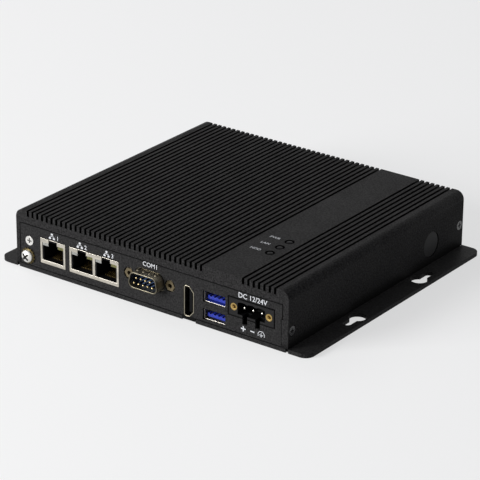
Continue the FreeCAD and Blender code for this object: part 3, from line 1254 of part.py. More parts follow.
def make_power_parts():
    coils = []
    for n in range(3):
        x = f"coil_x + {n} * coil_pitch"
        coils.append(box(f"coil_{n}", (f"{x} - coil_w / 2", f"{x} + coil_w / 2"),
                         ("front_y + coil_back - coil_w / 2", "front_y + coil_back + coil_w / 2"), under_board("coil_h")))
    cans = [prism(f"can_{n}", "-z", f"can_x + {n} * can_pitch", "front_y + can_back", "board_low", "can_r", "can_h",
                  BUSH_SIDES) for n in range(3)]
    return [group("power_inductors", coils), group("bulk_capacitors", cans)]


def make_indicators():
    """Lamps on the board and the light guides that carry them to the top of the housing."""
    lamps = []
    guides = []
    for n, (x, y) in enumerate(LAMPS):
        half = "lamp_size / 2"
        lamps.append(box(f"status_lamp_{n}", (f"{x} - {half}", f"{x} + {half}"), (f"{y} - {half}", f"{y} + {half}"),
                         ("board_top", "board_top + lamp_h")))
        guides.append(prism(f"light_guide_{n}", "+z", x, y, "board_top + lamp_h", "lamp_hole_r - guide_gap",
                            "body_h - guide_back - board_top - lamp_h", CELL_SIDES))
    return [group("status_lamps", lamps), group("light_guides", guides)]


# ---------------------------------------------------------------- build, check and write

def build_all():
    doc.recompute()
    pieces = [make_top_housing(), make_base_plate(), make_front_panel(), make_rear_panel()]
    pieces += make_case_fasteners()
    pieces += make_earth_terminal()
    pieces += make_plugs()
    pieces += make_network_jack("lan_single", "lan_x", "lan_w", 1)
    pieces += make_network_jack("lan_dual", "lan_dual_x", "lan_dual_w", 2)
    pieces += make_serial_port()
    pieces += make_video_port()
    pieces += make_usb_stack()
    pieces += make_power_header()
    pieces += [make_mainboard(), make_network_chips()]
    pieces += make_board_fixings()
    pieces += make_processor()
    pieces += make_memory()
    pieces += make_storage()
    pieces += make_coin_cell()
    pieces += make_power_parts()
    pieces += make_indicators()
    doc.recompute()
    return pieces


def check(pieces):
    for item in doc.Objects:
        if "Invalid" in item.State or "Error" in item.State:
            raise RuntimeError(f"{item.Label} failed: {item.State}")
    for piece in pieces:
        if piece.Shape.isNull() or not piece.Shape.isValid() or not piece.Shape.Solids:
            raise RuntimeError(f"{piece.Label} has no valid solid")


def write(pieces):
    os.makedirs("parts", exist_ok=True)
    for piece in pieces:
        piece.Shape.exportStep(os.path.join("parts", piece.Label + ".step"))
        print(f"{piece.Label}: {len(piece.Shape.Solids)} solid(s), {piece.Shape.Volume / 1000:.3f} cm3")


built = build_all()
check(built)
write(built)
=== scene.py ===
"""Looks of the fanless industrial pc, in metres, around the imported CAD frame.

The CAD nodes keep their meshes and get finishes and softened edges. The earth screw, the pins, the bushes,
the light guides and the jacks' contacts and windows are replaced by finer pieces in the same places. The
white print and the dimples of the serial shell are added.
"""

import json
import math

import bmesh
import bpy
from mathutils import Matrix, Vector


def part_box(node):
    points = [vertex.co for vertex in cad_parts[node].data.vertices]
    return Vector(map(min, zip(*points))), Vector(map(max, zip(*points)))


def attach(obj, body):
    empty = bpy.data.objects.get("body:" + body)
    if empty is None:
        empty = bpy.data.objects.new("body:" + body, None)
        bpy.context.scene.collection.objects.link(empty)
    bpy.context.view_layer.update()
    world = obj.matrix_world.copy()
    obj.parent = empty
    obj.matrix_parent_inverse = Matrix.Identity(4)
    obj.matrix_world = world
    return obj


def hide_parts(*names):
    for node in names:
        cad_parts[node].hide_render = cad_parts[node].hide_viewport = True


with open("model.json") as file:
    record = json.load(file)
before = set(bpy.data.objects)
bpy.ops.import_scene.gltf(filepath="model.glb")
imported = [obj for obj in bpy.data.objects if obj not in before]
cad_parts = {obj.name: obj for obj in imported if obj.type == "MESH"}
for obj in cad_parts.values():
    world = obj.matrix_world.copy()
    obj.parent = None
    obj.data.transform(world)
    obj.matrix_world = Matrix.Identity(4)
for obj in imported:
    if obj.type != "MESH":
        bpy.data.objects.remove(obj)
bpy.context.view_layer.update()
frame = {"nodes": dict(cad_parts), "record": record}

MM = 0.001
NODES = frame["nodes"]
RECORD = frame["record"]


# ---------------------------------------------------------------- places read from the frame

def low_high(node):
    """The lowest and highest corners of a CAD node."""
    low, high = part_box(node)
    return Vector(low), Vector(high)


def middle(pair):
    return (pair[0] + pair[1]) / 2


FRONT_Y = low_high("top_housing")[0].y
TOP_Z = low_high("top_housing")[1].z


# ---------------------------------------------------------------- material building

TONE_FROM = 0.32          # the stretch of the noise over which a finish goes from dark to light
TONE_TO = 0.68
COAT_TONE_SCALE = 0.62    # features of a finish's uneven tone, for each one of its grain
METAL_TONE_SCALE = 0.4
COAT_WEAR_SCALE = 60      # features per metre of a finish's uneven gloss
METAL_SMUDGE_SCALE = 350
# painted shade: the near-black that a plate's finish fades to at its edges, for the shade in the seam
SEAM_PAINTED_SHADE = (0.0012, 0.0012, 0.0012)
SEAM_CORE = 0.7           # how much of a seam's width is fully dark
# painted shade: the near-black that a finish goes to deep in narrow gaps
CREVICE_PAINTED_SHADE = (0.0008, 0.0008, 0.0008)
CREVICE_SAMPLES = 8


def new_material(name):
    material = bpy.data.materials.new(name)
    material.use_nodes = True
    tree = material.node_tree
    return material, tree, tree.nodes["Principled BSDF"]


def link(tree, source, target):
    tree.links.new(source, target)


def shade(colour, factor):
    return tuple(min(1.0, channel * factor) for channel in colour)


def object_noise(tree, scale, detail=4.0, stretch=(1, 1, 1)):
    """Noise over the object's own metres; scale is in features per metre."""
    coordinates = tree.nodes.new("ShaderNodeTexCoord")
    mapping = tree.nodes.new("ShaderNodeMapping")
    mapping.inputs["Scale"].default_value = stretch
    noise = tree.nodes.new("ShaderNodeTexNoise")
    noise.inputs["Scale"].default_value = scale
    noise.inputs["Detail"].default_value = detail
    link(tree, coordinates.outputs["Object"], mapping.inputs["Vector"])
    link(tree, mapping.outputs["Vector"], noise.inputs["Vector"])
    return noise.outputs["Fac"]


def object_axes(tree):
    """The object's own X, Y and Z."""
    coordinates = tree.nodes.new("ShaderNodeTexCoord")
    split = tree.nodes.new("ShaderNodeSeparateXYZ")
    link(tree, coordinates.outputs["Object"], split.inputs["Vector"])
    return split.outputs


def remap(tree, value, low, high, from_low=0.3, from_high=0.7):
    node = tree.nodes.new("ShaderNodeMapRange")
    node.inputs["From Min"].default_value = from_low
    node.inputs["From Max"].default_value = from_high
    node.inputs["To Min"].default_value = low
    node.inputs["To Max"].default_value = high
    link(tree, value, node.inputs["Value"])
    return node.outputs["Result"]


def math_node(tree, operation, first, second):
    node = tree.nodes.new("ShaderNodeMath")
    node.operation = operation
    for socket, value in zip(node.inputs, (first, second)):
        if isinstance(value, float):
            socket.default_value = value
        else:
            link(tree, value, socket)
    return node.outputs[0]


def mixed(tree, share, first, second):
    """The first colour where share is 0, the second where it is 1."""
    mix = tree.nodes.new("ShaderNodeMix")
    mix.data_type = "RGBA"
    link(tree, share, mix.inputs["Factor"])
    for socket, colour in zip((mix.inputs[6], mix.inputs[7]), (first, second)):
        if isinstance(colour, tuple):
            socket.default_value = (*colour, 1)
        else:
            link(tree, colour, socket)
    return mix.outputs[2]


def two_tone(tree, value, dark, light):
    ramp = tree.nodes.new("ShaderNodeValToRGB")
    for stop, position, colour in zip(ramp.color_ramp.elements, (TONE_FROM, TONE_TO), (dark, light)):
        stop.position = position
        stop.color = (*colour, 1)
    link(tree, value, ramp.inputs["Fac"])
    return ramp.outputs["Color"]


def bump(tree, shader, height, distance, strength=1.0):
    node = tree.nodes.new("ShaderNodeBump")
    node.inputs["Strength"].default_value = strength
    node.inputs["Distance"].default_value = distance
    link(tree, height, node.inputs["Height"])
    link(tree, node.outputs["Normal"], shader.inputs["Normal"])


def uneven_roughness(tree, shader, value, roughness, less, more):
    """Roughness that strays a little less or more than its mean with a noise's value."""
    link(tree, remap(tree, value, roughness - less, roughness + more), shader.inputs["Roughness"])


def along_depth(tree, near_colour, deep_colour, start, stop):
    """Painted light and shade: one colour at the front of a piece that turns into another as the piece goes
    back (+Y).
    """
    share = remap(tree, object_axes(tree)["Y"], 0, 1, start, stop)
    return mixed(tree, share, near_colour, deep_colour)


def seam_shade(tree, colour, low, high, width):
    """Painted shade in the seam around a plate: the finish darkens near the plate's edges in X and Z."""
    axes = object_axes(tree)
    nearest = None
    for axis, near, far in (("X", low.x, high.x), ("Z", low.z, high.z)):
        for gap in (math_node(tree, "SUBTRACT", axes[axis], near),
                    math_node(tree, "SUBTRACT", far, axes[axis])):
            nearest = gap if nearest is None else math_node(tree, "MINIMUM", nearest, gap)
    return mixed(tree, remap(tree, nearest, 1, 0, width * SEAM_CORE, width), colour, SEAM_PAINTED_SHADE)


def crevice_shade(tree, colour, reach, power):
    """Painted shade in narrow gaps, such as between fins: the colour darkens where ambient occlusion finds
    surfaces close by.
    """
    gap = tree.nodes.new("ShaderNodeAmbientOcclusion")
    gap.inputs["Distance"].default_value = reach
    gap.samples = CREVICE_SAMPLES
    return mixed(tree, math_node(tree, "POWER", gap.outputs["AO"], power), CREVICE_PAINTED_SHADE, colour)


def grained_colour(tree, scale, colour, spread, deep=None, stretch=(1, 1, 1), seam=None):
    """The uneven tone of a finish; deep is (colour, start, stop) along +Y and seam is (low, high, width),
    both for painted shade.
    """
    tone = object_noise(tree, scale, 6, stretch)
    near_colour = two_tone(tree, tone, shade(colour, 1 - spread), shade(colour, 1 + spread))
    if seam:
        near_colour = seam_shade(tree, near_colour, *seam)
    if deep is None:
        return near_colour
    far, start, stop = deep
    deep_colour = two_tone(tree, tone, shade(far, 1 - spread), shade(far, 1 + spread))
    return along_depth(tree, near_colour, deep_colour, start, stop)


def coated(name, colour, roughness=0.5, grain=1700, depth=0.03, spread=0.14, gloss=0.5, deep=None, seam=None,
           crevices=None):
    """Fine-grained coating or moulded plastic; grain is per metre, its depth in millimetres."""
    material, tree, shader = new_material(name)
    surface = grained_colour(tree, grain * COAT_TONE_SCALE, colour, spread, deep, seam=seam)
    # painted shade in narrow gaps, where crevices (reach, power) is given
    if crevices:
        surface = crevice_shade(tree, surface, *crevices)
    link(tree, surface, shader.inputs["Base Color"])
    wear = object_noise(tree, COAT_WEAR_SCALE, 5)
    uneven_roughness(tree, shader, wear, roughness, less=0.05, more=0.06)
    shader.inputs["Specular IOR Level"].default_value = gloss
    bump(tree, shader, object_noise(tree, grain, 3), depth * MM)
    return material


def metal(name, colour, roughness=0.3, grain=900, depth=0.006, stretch=(1, 1, 1), spread=0.1, deep=None):
    """Bare or plated metal with fine rolling marks and smudges; depth is in millimetres."""
    material, tree, shader = new_material(name)
    surface = grained_colour(tree, grain * METAL_TONE_SCALE, colour, spread, deep, stretch)
    shader.inputs["Metallic"].default_value = 1.0
    link(tree, surface, shader.inputs["Base Color"])
    smudge = object_noise(tree, METAL_SMUDGE_SCALE, 6)
    uneven_roughness(tree, shader, smudge, roughness, less=0.08, more=0.1)
    bump(tree, shader, object_noise(tree, grain, 3, stretch), depth * MM)
    return material


def translucent(name, colour, roughness=0.25, weight=0.25):
    """Cloudy plastic of a lamp window."""
    material, tree, shader = new_material(name)
    cloud = object_noise(tree, 900, 4)
    link(tree, two_tone(tree, cloud, shade(colour, 0.85), shade(colour, 1.12)), shader.inputs["Base Color"])
    uneven_roughness(tree, shader, cloud, roughness, less=0.05, more=0.08)
    shader.inputs["Transmission Weight"].default_value = weight
    shader.inputs["IOR"].default_value = 1.49
    return material


def circuit_board(name):
    """Green solder mask over fine copper tracks."""
    material, tree, shader = new_material(name)
    coordinates = tree.nodes.new("ShaderNodeTexCoord")
    tracks = tree.nodes.new("ShaderNodeTexBrick")
    tracks.inputs["Scale"].default_value = 260
    tracks.inputs["Color1"].default_value = (0.010, 0.075, 0.030, 1)
    tracks.inputs["Color2"].default_value = (0.014, 0.095, 0.040, 1)
    tracks.inputs["Mortar"].default_value = (0.022, 0.13, 0.055, 1)
    tracks.inputs["Mortar Size"].default_value = 0.06
    link(tree, coordinates.outputs["Object"], tracks.inputs["Vector"])
    link(tree, tracks.outputs["Color"], shader.inputs["Base Color"])
    uneven_roughness(tree, shader, object_noise(tree, 300), 0.35, less=0.07, more=0.07)
    bump(tree, shader, tracks.outputs["Fac"], distance=0.02 * MM, strength=0.6)
    return material


def print_ink(name):
    """White pad print, slightly thin in places."""
    material, tree, shader = new_material(name)
    cover = object_noise(tree, 2600, 4)
    link(tree, two_tone(tree, cover, (0.44, 0.45, 0.47), (0.62, 0.63, 0.65)), shader.inputs["Base Color"])
    uneven_roughness(tree, shader, cover, 0.6, less=0.05, more=0.1)
    return material


# ---------------------------------------------------------------- finishes: one for each slot of the record

BLACK = (0.0158, 0.0154, 0.0156)
NICKEL = (0.72, 0.71, 0.68)
COAT = {"roughness": 0.56, "grain": 2000, "depth": 0.06, "spread": 0.72, "gloss": 0.07}
MOULDED = {"roughness": 0.4, "grain": 2300, "depth": 0.01}
FINISHES = {
    "black_housing": coated("housing_coat", BLACK, **COAT),
    "black_plate": coated("plate_coat", shade(BLACK, 0.97), **COAT),
    "nickel_screws": metal("nickel_plate", NICKEL),
    "black_screws": coated("black_oxide", (0.020, 0.020, 0.021), roughness=0.24, gloss=0.8),
    "black_rubber": coated("plug_plastic", (0.014, 0.014, 0.0145), gloss=0.15),
    "tinned_shield": metal("tin_plate", (0.42, 0.395, 0.345), roughness=0.42, stretch=(1, 1, 6)),
    "black_moulding": coated("black_moulding", (0.004, 0.004, 0.0045), roughness=0.45, grain=2300,
                             depth=0.012, gloss=0.06),
    "navy_moulding": coated("navy_moulding", (0.020, 0.045, 0.105), gloss=0.2, **MOULDED),
    "gold_contact": metal("gold_plate", (0.86, 0.64, 0.27), roughness=0.28),
    "lamp_window": translucent("lamp_window", (0.55, 0.56, 0.52)),
    "blue_moulding": coated("blue_moulding", (0.030, 0.075, 0.50), **MOULDED),
    "brass_bush": metal("brass", (0.40, 0.28, 0.10)),
    "circuit_board": circuit_board("solder_mask"),
    "chip_package": coated("chip_package", (0.022, 0.022, 0.024), roughness=0.55),
    "silicone_pad": coated("silicone_pad", (0.35, 0.40, 0.48), roughness=0.7),
    "steel_part": metal("plated_steel", (0.62, 0.62, 0.61), roughness=0.34),
    "capacitor_can": metal("capacitor_can", (0.70, 0.70, 0.71), roughness=0.28),
    "clear_guide": coated("light_guide", (0.004, 0.004, 0.0044), gloss=0.05, **MOULDED),
}
INK = print_ink("white_print")
# painted shade: the contact wires are gold darkened to its look in the jacks' shade
WIRE = metal("contact_wire_painted_shade", (0.20, 0.14, 0.05), roughness=0.4)


def behind(front_y, start, stop, colour):
    """A colour that takes over between start and stop, in millimetres behind front_y, for a piece's painted
    shade that changes with depth.
    """
    return colour, front_y + start * MM, front_y + stop * MM


def panel_seam():
    """The seam round the panel's face, where painted shade goes; a tab takes the panel's box lower, so the
    plate's top is its foot.
    """
    low, high = low_high("front_panel")
    low.z = low_high("base_plate")[1].z + 0.3 * MM
    return low, high, 0.4 * MM


OWN_FINISHES = {
    # painted light and shade: the housing's coat is a lighter copy of BLACK that stands in for the sheen its
    # lower gloss gives up, and its crevices get painted shade
    "top_housing": coated("finned_coat", shade(BLACK, 1.20), **{**COAT, "gloss": 0.032},
                          crevices=(6.0 * MM, 4.0)),
    # painted shade: the screw's nickel goes near-black just behind the front, for the shade in its
    # countersink
    "panel_screw": metal("panel_screw_plate", NICKEL, deep=behind(FRONT_Y, 0.1, 0.45, (0.02, 0.02, 0.02))),
    # painted shade round the panel's edges, in its seam
    "front_panel": coated("panel_coat", BLACK, **COAT, seam=panel_seam()),
    # painted shade: the shell's front rim is darker than the shell further back
    "serial_shell": metal("drawn_shell", (0.13, 0.117, 0.085), roughness=0.34,
                          deep=behind(low_high("serial_shell")[0].y, 0.2, 0.9, (0.26, 0.235, 0.18))),
    "serial_jackscrews": metal("lock_screw_plate", (0.16, 0.13, 0.08), roughness=0.32),
    # painted light and shade: the tongue's front face is lightened against the shell's shade, and it goes
    # darker blue further back
    "usb_stack_insert": coated("usb_moulding", (0.15, 0.19, 0.50), gloss=0.2, **MOULDED,
                               deep=behind(low_high("usb_stack_insert")[0].y, 0.1, 0.4, (0.02, 0.035, 0.30))),
    "ground_washer": metal("washer_plate", (0.09, 0.07, 0.03), roughness=0.36),
    # painted shade: near-black in the header's cavities behind the front, and dark round its edges in the
    # seam
    "power_header_body": coated("header_moulding", shade(BLACK, 0.9), grain=2300, depth=0.012, gloss=0.06,
                                deep=behind(FRONT_Y, 0.2, 0.6, (0.003, 0.003, 0.0033)),
                                seam=(*low_high("power_header_body"), 0.45 * MM)),
    # painted shade: the shell goes dark inside the port, behind the front
    "video_port_shell": metal("video_shell", (0.25, 0.23, 0.18), roughness=0.4,
                              deep=behind(FRONT_Y, 0.3, 1.2, (0.06, 0.056, 0.05))),
}


# ---------------------------------------------------------------- softened edges of the CAD nodes

WELD_REACH = 0.002 * MM
EDGE_SEGMENTS = 2
EDGE_ANGLE = math.radians(35)
EDGE_MM = {
    "top_housing": 0.18, "base_plate": 0.25, "front_panel": 0.1, "rear_panel": 0.1,
    "side_screws": 0.12, "panel_screw": 0.12, "base_screws": 0.12, "ground_washer": 0.1,
    "side_hole_plug": 0.3, "antenna_hole_plugs": 0.3,
    "lan_single_shield": 0.12, "lan_dual_shield": 0.12, "serial_shell": 0.15, "serial_jackscrews": 0.3,
    "video_port_shell": 0.15, "usb_stack_shell": 0.1, "usb_stack_insert": 0.12, "power_header_body": 0.18,
}


def bevelled(item, width):
    """Break the item's sharp edges by a width in millimetres."""
    bevel = item.modifiers.new("bevel", "BEVEL")
    bevel.width = width * MM
    bevel.segments = EDGE_SEGMENTS
    bevel.limit_method = "ANGLE"
    bevel.angle_limit = EDGE_ANGLE
    return item


def soften(item, width):
    """Weld the loose facets of the frame's mesh, then break its edges."""
    weld = item.modifiers.new("weld", "WELD")
    weld.merge_threshold = WELD_REACH
    bevelled(item, width)


def dress_nodes():
    """Give every CAD node its own finish or its slot's, and broken edges where they show."""
    slots = {row["node"]: row["material_slot"] for row in RECORD["subparts"]}
    for name, item in NODES.items():
        finish = OWN_FINISHES.get(name, FINISHES[slots[name]])
        if not item.data.materials:
            item.data.materials.append(finish)
        for index in range(len(item.data.materials)):
            item.data.materials[index] = finish
        if name in EDGE_MM:
            soften(item, EDGE_MM[name])


# ---------------------------------------------------------------- building pieces

def new_object(name, data):
    item = bpy.data.objects.new(name, data)
    bpy.context.scene.collection.objects.link(item)
    return item


def add_piece(name, mesh, finish):
    item = new_object(name, mesh)
    item.data.materials.append(finish)
    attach(item, "root")
    return item


def mesh_from(name, build):
    mesh = bpy.data.meshes.new(name)
    shape = bmesh.new()
    build(shape)
    bmesh.ops.recalc_face_normals(shape, faces=shape.faces)
    shape.to_mesh(mesh)
    shape.free()
    return mesh


def build_piece(name, build, finish):
    return add_piece(name, mesh_from(name, build), finish)


def applied_mesh(item):
    """The mesh of an item once its modifiers or its curve are worked out."""
    bpy.context.view_layer.update()
    return bpy.data.meshes.new_from_object(item.evaluated_get(bpy.context.evaluated_depsgraph_get()))


def smooth(item, angle=40):
    """Smooth shading, with edges sharper than the angle in degrees left sharp."""
    for face in item.data.polygons:
        face.use_smooth = True
    item.data.set_sharp_from_angle(angle=math.radians(angle))
    return item


def lathe(shape, centre, axis, profile, segments=40):
    """Turn radius and height pairs about an axis; heights run along it."""
    turn = Vector((0, 0, 1)).rotation_difference(Vector(axis)).to_matrix()
    rings = []
    for radius, height in profile:
        if radius == 0:
            rings.append([shape.verts.new(Vector(centre) + turn @ Vector((0, 0, height)))])
            continue
        ring = []
        for n in range(segments):
            angle = 2 * math.pi * n / segments
            spoke = Vector((radius * math.cos(angle), radius * math.sin(angle), height))
            ring.append(shape.verts.new(Vector(centre) + turn @ spoke))
        rings.append(ring)
    for first, second in zip(rings, rings[1:]):
        for n in range(segments):
            after = (n + 1) % segments
            if len(first) == 1:
                shape.faces.new((first[0], second[n], second[after]))
            elif len(second) == 1:
                shape.faces.new((first[n], first[after], second[0]))
            else:
                shape.faces.new((first[n], first[after], second[after], second[n]))


def skin(shape, rows):
    """Walls between neighbouring closed rows of vertices, and a face over each end."""
    for first, second in zip(rows, rows[1:]):
        for n in range(len(first)):
            after = (n + 1) % len(first)
            shape.faces.new((first[n], first[after], second[after], second[n]))
    shape.faces.new(rows[0])
    shape.faces.new(rows[-1])


def block(shape, low, high):
    """A box between two corners."""
    for vertex in bmesh.ops.create_cube(shape, size=1)["verts"]:
        for axis in range(3):
            vertex.co[axis] = high[axis] if vertex.co[axis] > 0 else low[axis]


def take_island(left):
    """Take one joined group of vertices out of the set, and give their places."""
    stack = [left.pop()]
    points = []
    while stack:
        vertex = stack.pop()
        points.append(vertex.co.copy())
        for edge in vertex.link_edges:
            other = edge.other_vert(vertex)
            if other in left:
                left.remove(other)
                stack.append(other)
    return points


def islands(node):
    """Boxes of the separate solids of a node, from left to right."""
    shape = bmesh.new()
    shape.from_mesh(NODES[node].data)
    bmesh.ops.remove_doubles(shape, verts=shape.verts, dist=WELD_REACH)
    left = set(shape.verts)
    boxes = []
    while left:
        spans = list(zip(*take_island(left)))
        boxes.append((Vector([min(span) for span in spans]), Vector([max(span) for span in spans])))
    shape.free()
    return sorted(boxes, key=lambda pair: (round(pair[0].x, 4), round(pair[0].z, 4)))


def carve(item, cutter_mesh):
    """Cut a shape out of a piece for good."""
    cutter = new_object("cutter", cutter_mesh)
    modifier = item.modifiers.new("carve", "BOOLEAN")
    modifier.operation = "DIFFERENCE"
    modifier.solver = "EXACT"
    modifier.object = cutter
    carved = applied_mesh(item)
    item.modifiers.clear()
    item.data = carved
    bpy.data.objects.remove(cutter)


# ---------------------------------------------------------------- earth screw

STEM_RADIUS = 1.9 * MM
HEAD_EDGE = 0.34          # height of the head's straight edge, as a share of the head's
CROWN_DEGREES = (15, 30, 45, 58, 70, 80)
CROSS_ARM = 0.68          # how far the recess's arms reach, as a share of the head's radius
CROSS_BLADE = 0.17        # half the width of its arms, likewise
CROSS_START = 1.3         # where its cutter starts, above the crown, as a share of the head's height
CROSS_FLOOR = 0.3         # where it ends, likewise
CROSS_TURN = math.radians(45)
CROSS_SLACK = 0.02 * MM


def cross_corners(arm, blade):
    """Outline of a cross, one arm after another."""
    corners = []
    quarter = [(arm, -blade), (arm, blade), (blade, blade)]
    for _ in range(4):
        corners += quarter
        quarter = [(-z, x) for x, z in quarter]
    return corners


def darken_recess(item, to_cross, arm, blade, floor_y):
    """Give the faces inside the cross their own dark finish, painted shade in the recess."""
    item.data.materials.append(coated("recess_painted_shade", (0.035, 0.03, 0.024), roughness=0.45))
    for face in item.data.polygons:
        spot = to_cross @ face.center
        narrow, wide = sorted((abs(spot.x), abs(spot.z)))
        if wide < arm + CROSS_SLACK and narrow < blade + CROSS_SLACK and spot.y < floor_y + CROSS_SLACK:
            face.material_index = 1


def make_earth_screw():
    """Domed pan head with a deep cross recess, its arms on the diagonals, over the toothed washer."""
    low, high = low_high("ground_screw")
    seat_y = low_high("ground_washer")[0].y
    centre = Vector(((low.x + high.x) / 2, seat_y, (low.z + high.z) / 2))
    radius = (high.x - low.x) / 2
    rise = seat_y - low.y
    arm, blade = radius * CROSS_ARM, radius * CROSS_BLADE
    floor_y = -rise * CROSS_FLOOR
    place = Matrix.Translation(centre) @ Matrix.Rotation(CROSS_TURN, 4, "Y")

    def turned_blank(shape):
        stem_end = seat_y - high.y
        profile = [(0, stem_end), (STEM_RADIUS, stem_end), (STEM_RADIUS, 0), (radius, 0),
                   (radius, rise * HEAD_EDGE)]
        for angle in map(math.radians, CROWN_DEGREES):
            profile.append((radius * math.cos(angle), rise * (HEAD_EDGE + (1 - HEAD_EDGE) * math.sin(angle))))
        lathe(shape, centre, (0, -1, 0), profile + [(0, rise)], 48)

    def cross(shape):
        corners = cross_corners(arm, blade)
        rows = [[shape.verts.new((x, y, z)) for x, z in corners] for y in (-rise * CROSS_START, floor_y)]
        skin(shape, rows)
        bmesh.ops.transform(shape, matrix=place, verts=shape.verts)

    item = build_piece("earth_screw", turned_blank, FINISHES["nickel_screws"])
    carve(item, mesh_from("cross_cutter", cross))
    darken_recess(item, place.inverted(), arm, blade, floor_y)
    smooth(item, 32)
    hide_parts("ground_screw")


# ---------------------------------------------------------------- pins, bushes and contacts

def make_serial_pins():
    """Round gold pins with domed tips, with painted shade and a painted navy reflection towards their feet.
    """
    def build(shape):
        for low, high in islands("serial_pins"):
            centre = middle((low, high))
            radius = (high.x - low.x) / 2
            length = high.y - low.y
            dome = [(radius * math.sin(angle), length - radius * (1 - math.cos(angle)))
                    for angle in map(math.radians, (90, 75, 50, 25, 0))]
            lathe(shape, (centre.x, high.y, centre.z), (0, -1, 0), [(0, 0), (radius, 0)] + dome, 20)
    tips = low_high("serial_pins")[0].y
    # painted shade and a painted navy reflection on the pins' shafts behind the tips
    finish = metal("pin_plate", (0.60, 0.48, 0.25), deep=behind(tips, 0.5, 1.2, (0.05, 0.055, 0.08)))
    item = smooth(build_piece("serial_pin_set", build, finish))
    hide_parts("serial_pins")


BUSH_BORE = 0.5           # radius of the bore, as a share of the bush's
BORE_CHAMFER = 1.25       # radius of the bore's mouth, as a share of the bore's
THREAD_ROOT = 1.14        # radius at the bottom of the thread, likewise
THREAD_PITCH = 0.4 * MM
THREAD_TURNS = 9


def make_header_bushes():
    """Brass bushes with a chamfered, threaded bore."""
    def build(shape):
        for low, high in islands("power_header_bushes"):
            centre = middle((low, high))
            radius = (high.x - low.x) / 2
            bore = radius * BUSH_BORE
            profile = [(radius * 0.99, low.y - high.y), (radius * 0.99, -0.15 * MM), (radius * 0.93, 0),
                       (bore * BORE_CHAMFER, 0)]
            for n in range(THREAD_TURNS):
                profile += [(bore, -(n + 0.5) * THREAD_PITCH), (bore * THREAD_ROOT, -(n + 1) * THREAD_PITCH)]
            profile += [(0, -(THREAD_TURNS + 1) * THREAD_PITCH)]
            lathe(shape, (centre.x, low.y, centre.z), (0, -1, 0), profile, 32)
    item = smooth(build_piece("header_bush_pair", build, FINISHES["brass_bush"]), 30)
    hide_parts("power_header_bushes")


def make_power_pins():
    """Square tinned pins that turn up at the back, with bevelled tips."""
    pins = islands("power_header_pins")

    def build(shape):
        for low, high in pins:
            side = high.x - low.x
            block(shape, low, (high.x, high.y, low.z + side))
            block(shape, (low.x, high.y - side, low.z + side), high)
    tips = low_high("power_header_pins")[0].y
    # painted shade: the pins go near-black behind their tips
    finish = metal("power_pin_tin", (0.40, 0.385, 0.35), deep=behind(tips, 0.2, 0.5, (0.03, 0.03, 0.03)))
    item = bevelled(build_piece("power_pin_set", build, finish), 0.26)
    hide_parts("power_header_pins")


DIMPLES = 4
DIMPLE_PROFILE = ((0.75, -0.1), (0.62, 0.14), (0.35, 0.28), (0, 0.33))
DIMPLE_PITCH = 3.6 * MM
DIMPLE_SETBACK = 3.4 * MM     # behind the shell's front edge
SHELL_OVER_PINS = 2.35 * MM   # from the top of the upper pins to the top of the shell


def make_shell_dimples():
    """Contact dimples that stand up from the top of the serial shell; their profile is in millimetres."""
    low, high = low_high("serial_shell")
    middle_x = (low.x + high.x) / 2
    top = low_high("serial_pins")[1].z + SHELL_OVER_PINS
    profile = [(radius * MM, height * MM) for radius, height in DIMPLE_PROFILE]

    def build(shape):
        for n in range(DIMPLES):
            place = (middle_x + (n - (DIMPLES - 1) / 2) * DIMPLE_PITCH, low.y + DIMPLE_SETBACK, top)
            lathe(shape, place, (0, 0, 1), profile, 20)
    finish = metal("dimple_plate", (0.19, 0.17, 0.125), roughness=0.36)
    smooth(build_piece("serial_shell_dimples", build, finish))


COLLAR_WIDTH = 0.52 * MM
COLLAR_LIFT = 0.02 * MM
LENS_RADIUS = 1.6 * MM        # faces farther out than this have the collar's finish


def make_light_guides():
    """Dark rods, each with a flat collar round its hole's edge and a domed lens sunk inside the collar; the
    collar's matte near-black is painted shade round the hole.
    """
    guides = islands("light_guides")

    def build(shape):
        for low, high in guides:
            centre = middle((low, high))
            radius = (high.x - low.x) / 2
            lip = TOP_Z - low.z
            outer = radius + COLLAR_WIDTH
            rod = [(0, 0), (radius, 0), (radius, high.z - low.z - 0.5 * MM), (radius, lip + COLLAR_LIFT)]
            collar = [(outer, lip + COLLAR_LIFT), (outer - 0.07 * MM, lip + 0.06 * MM),
                      (radius, lip - 0.35 * MM)]
            lens = [(radius * 0.8, lip - 0.5 * MM), (radius * 0.74, lip - 0.15 * MM), (radius * 0.4, lip),
                    (0, lip + 0.05 * MM)]
            lathe(shape, (centre.x, centre.y, low.z), (0, 0, 1), rod + collar + lens, 36)
    item = smooth(build_piece("light_guide_rods", build, FINISHES["clear_guide"]))
    # painted shade: a matte near-black with no gloss on the faces away from the lens, for the shade round
    # each hole
    item.data.materials.append(coated("guide_collar_painted_shade", (0.0022, 0.0022, 0.0024), roughness=0.9, gloss=0.0))
    for face in item.data.polygons:
        away = min((face.center.xy - middle(pair).xy).length for pair in guides)
        face.material_index = 1 if away > LENS_RADIUS else 0
    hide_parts("light_guides")


WIRE_THICKNESS = 0.3 * MM
WIRE_PATH = ((0.0, 0.0), (0.12, 0.02), (0.25, 0.14), (0.8, 0.86), (0.93, 0.97), (1.0, 1.0))


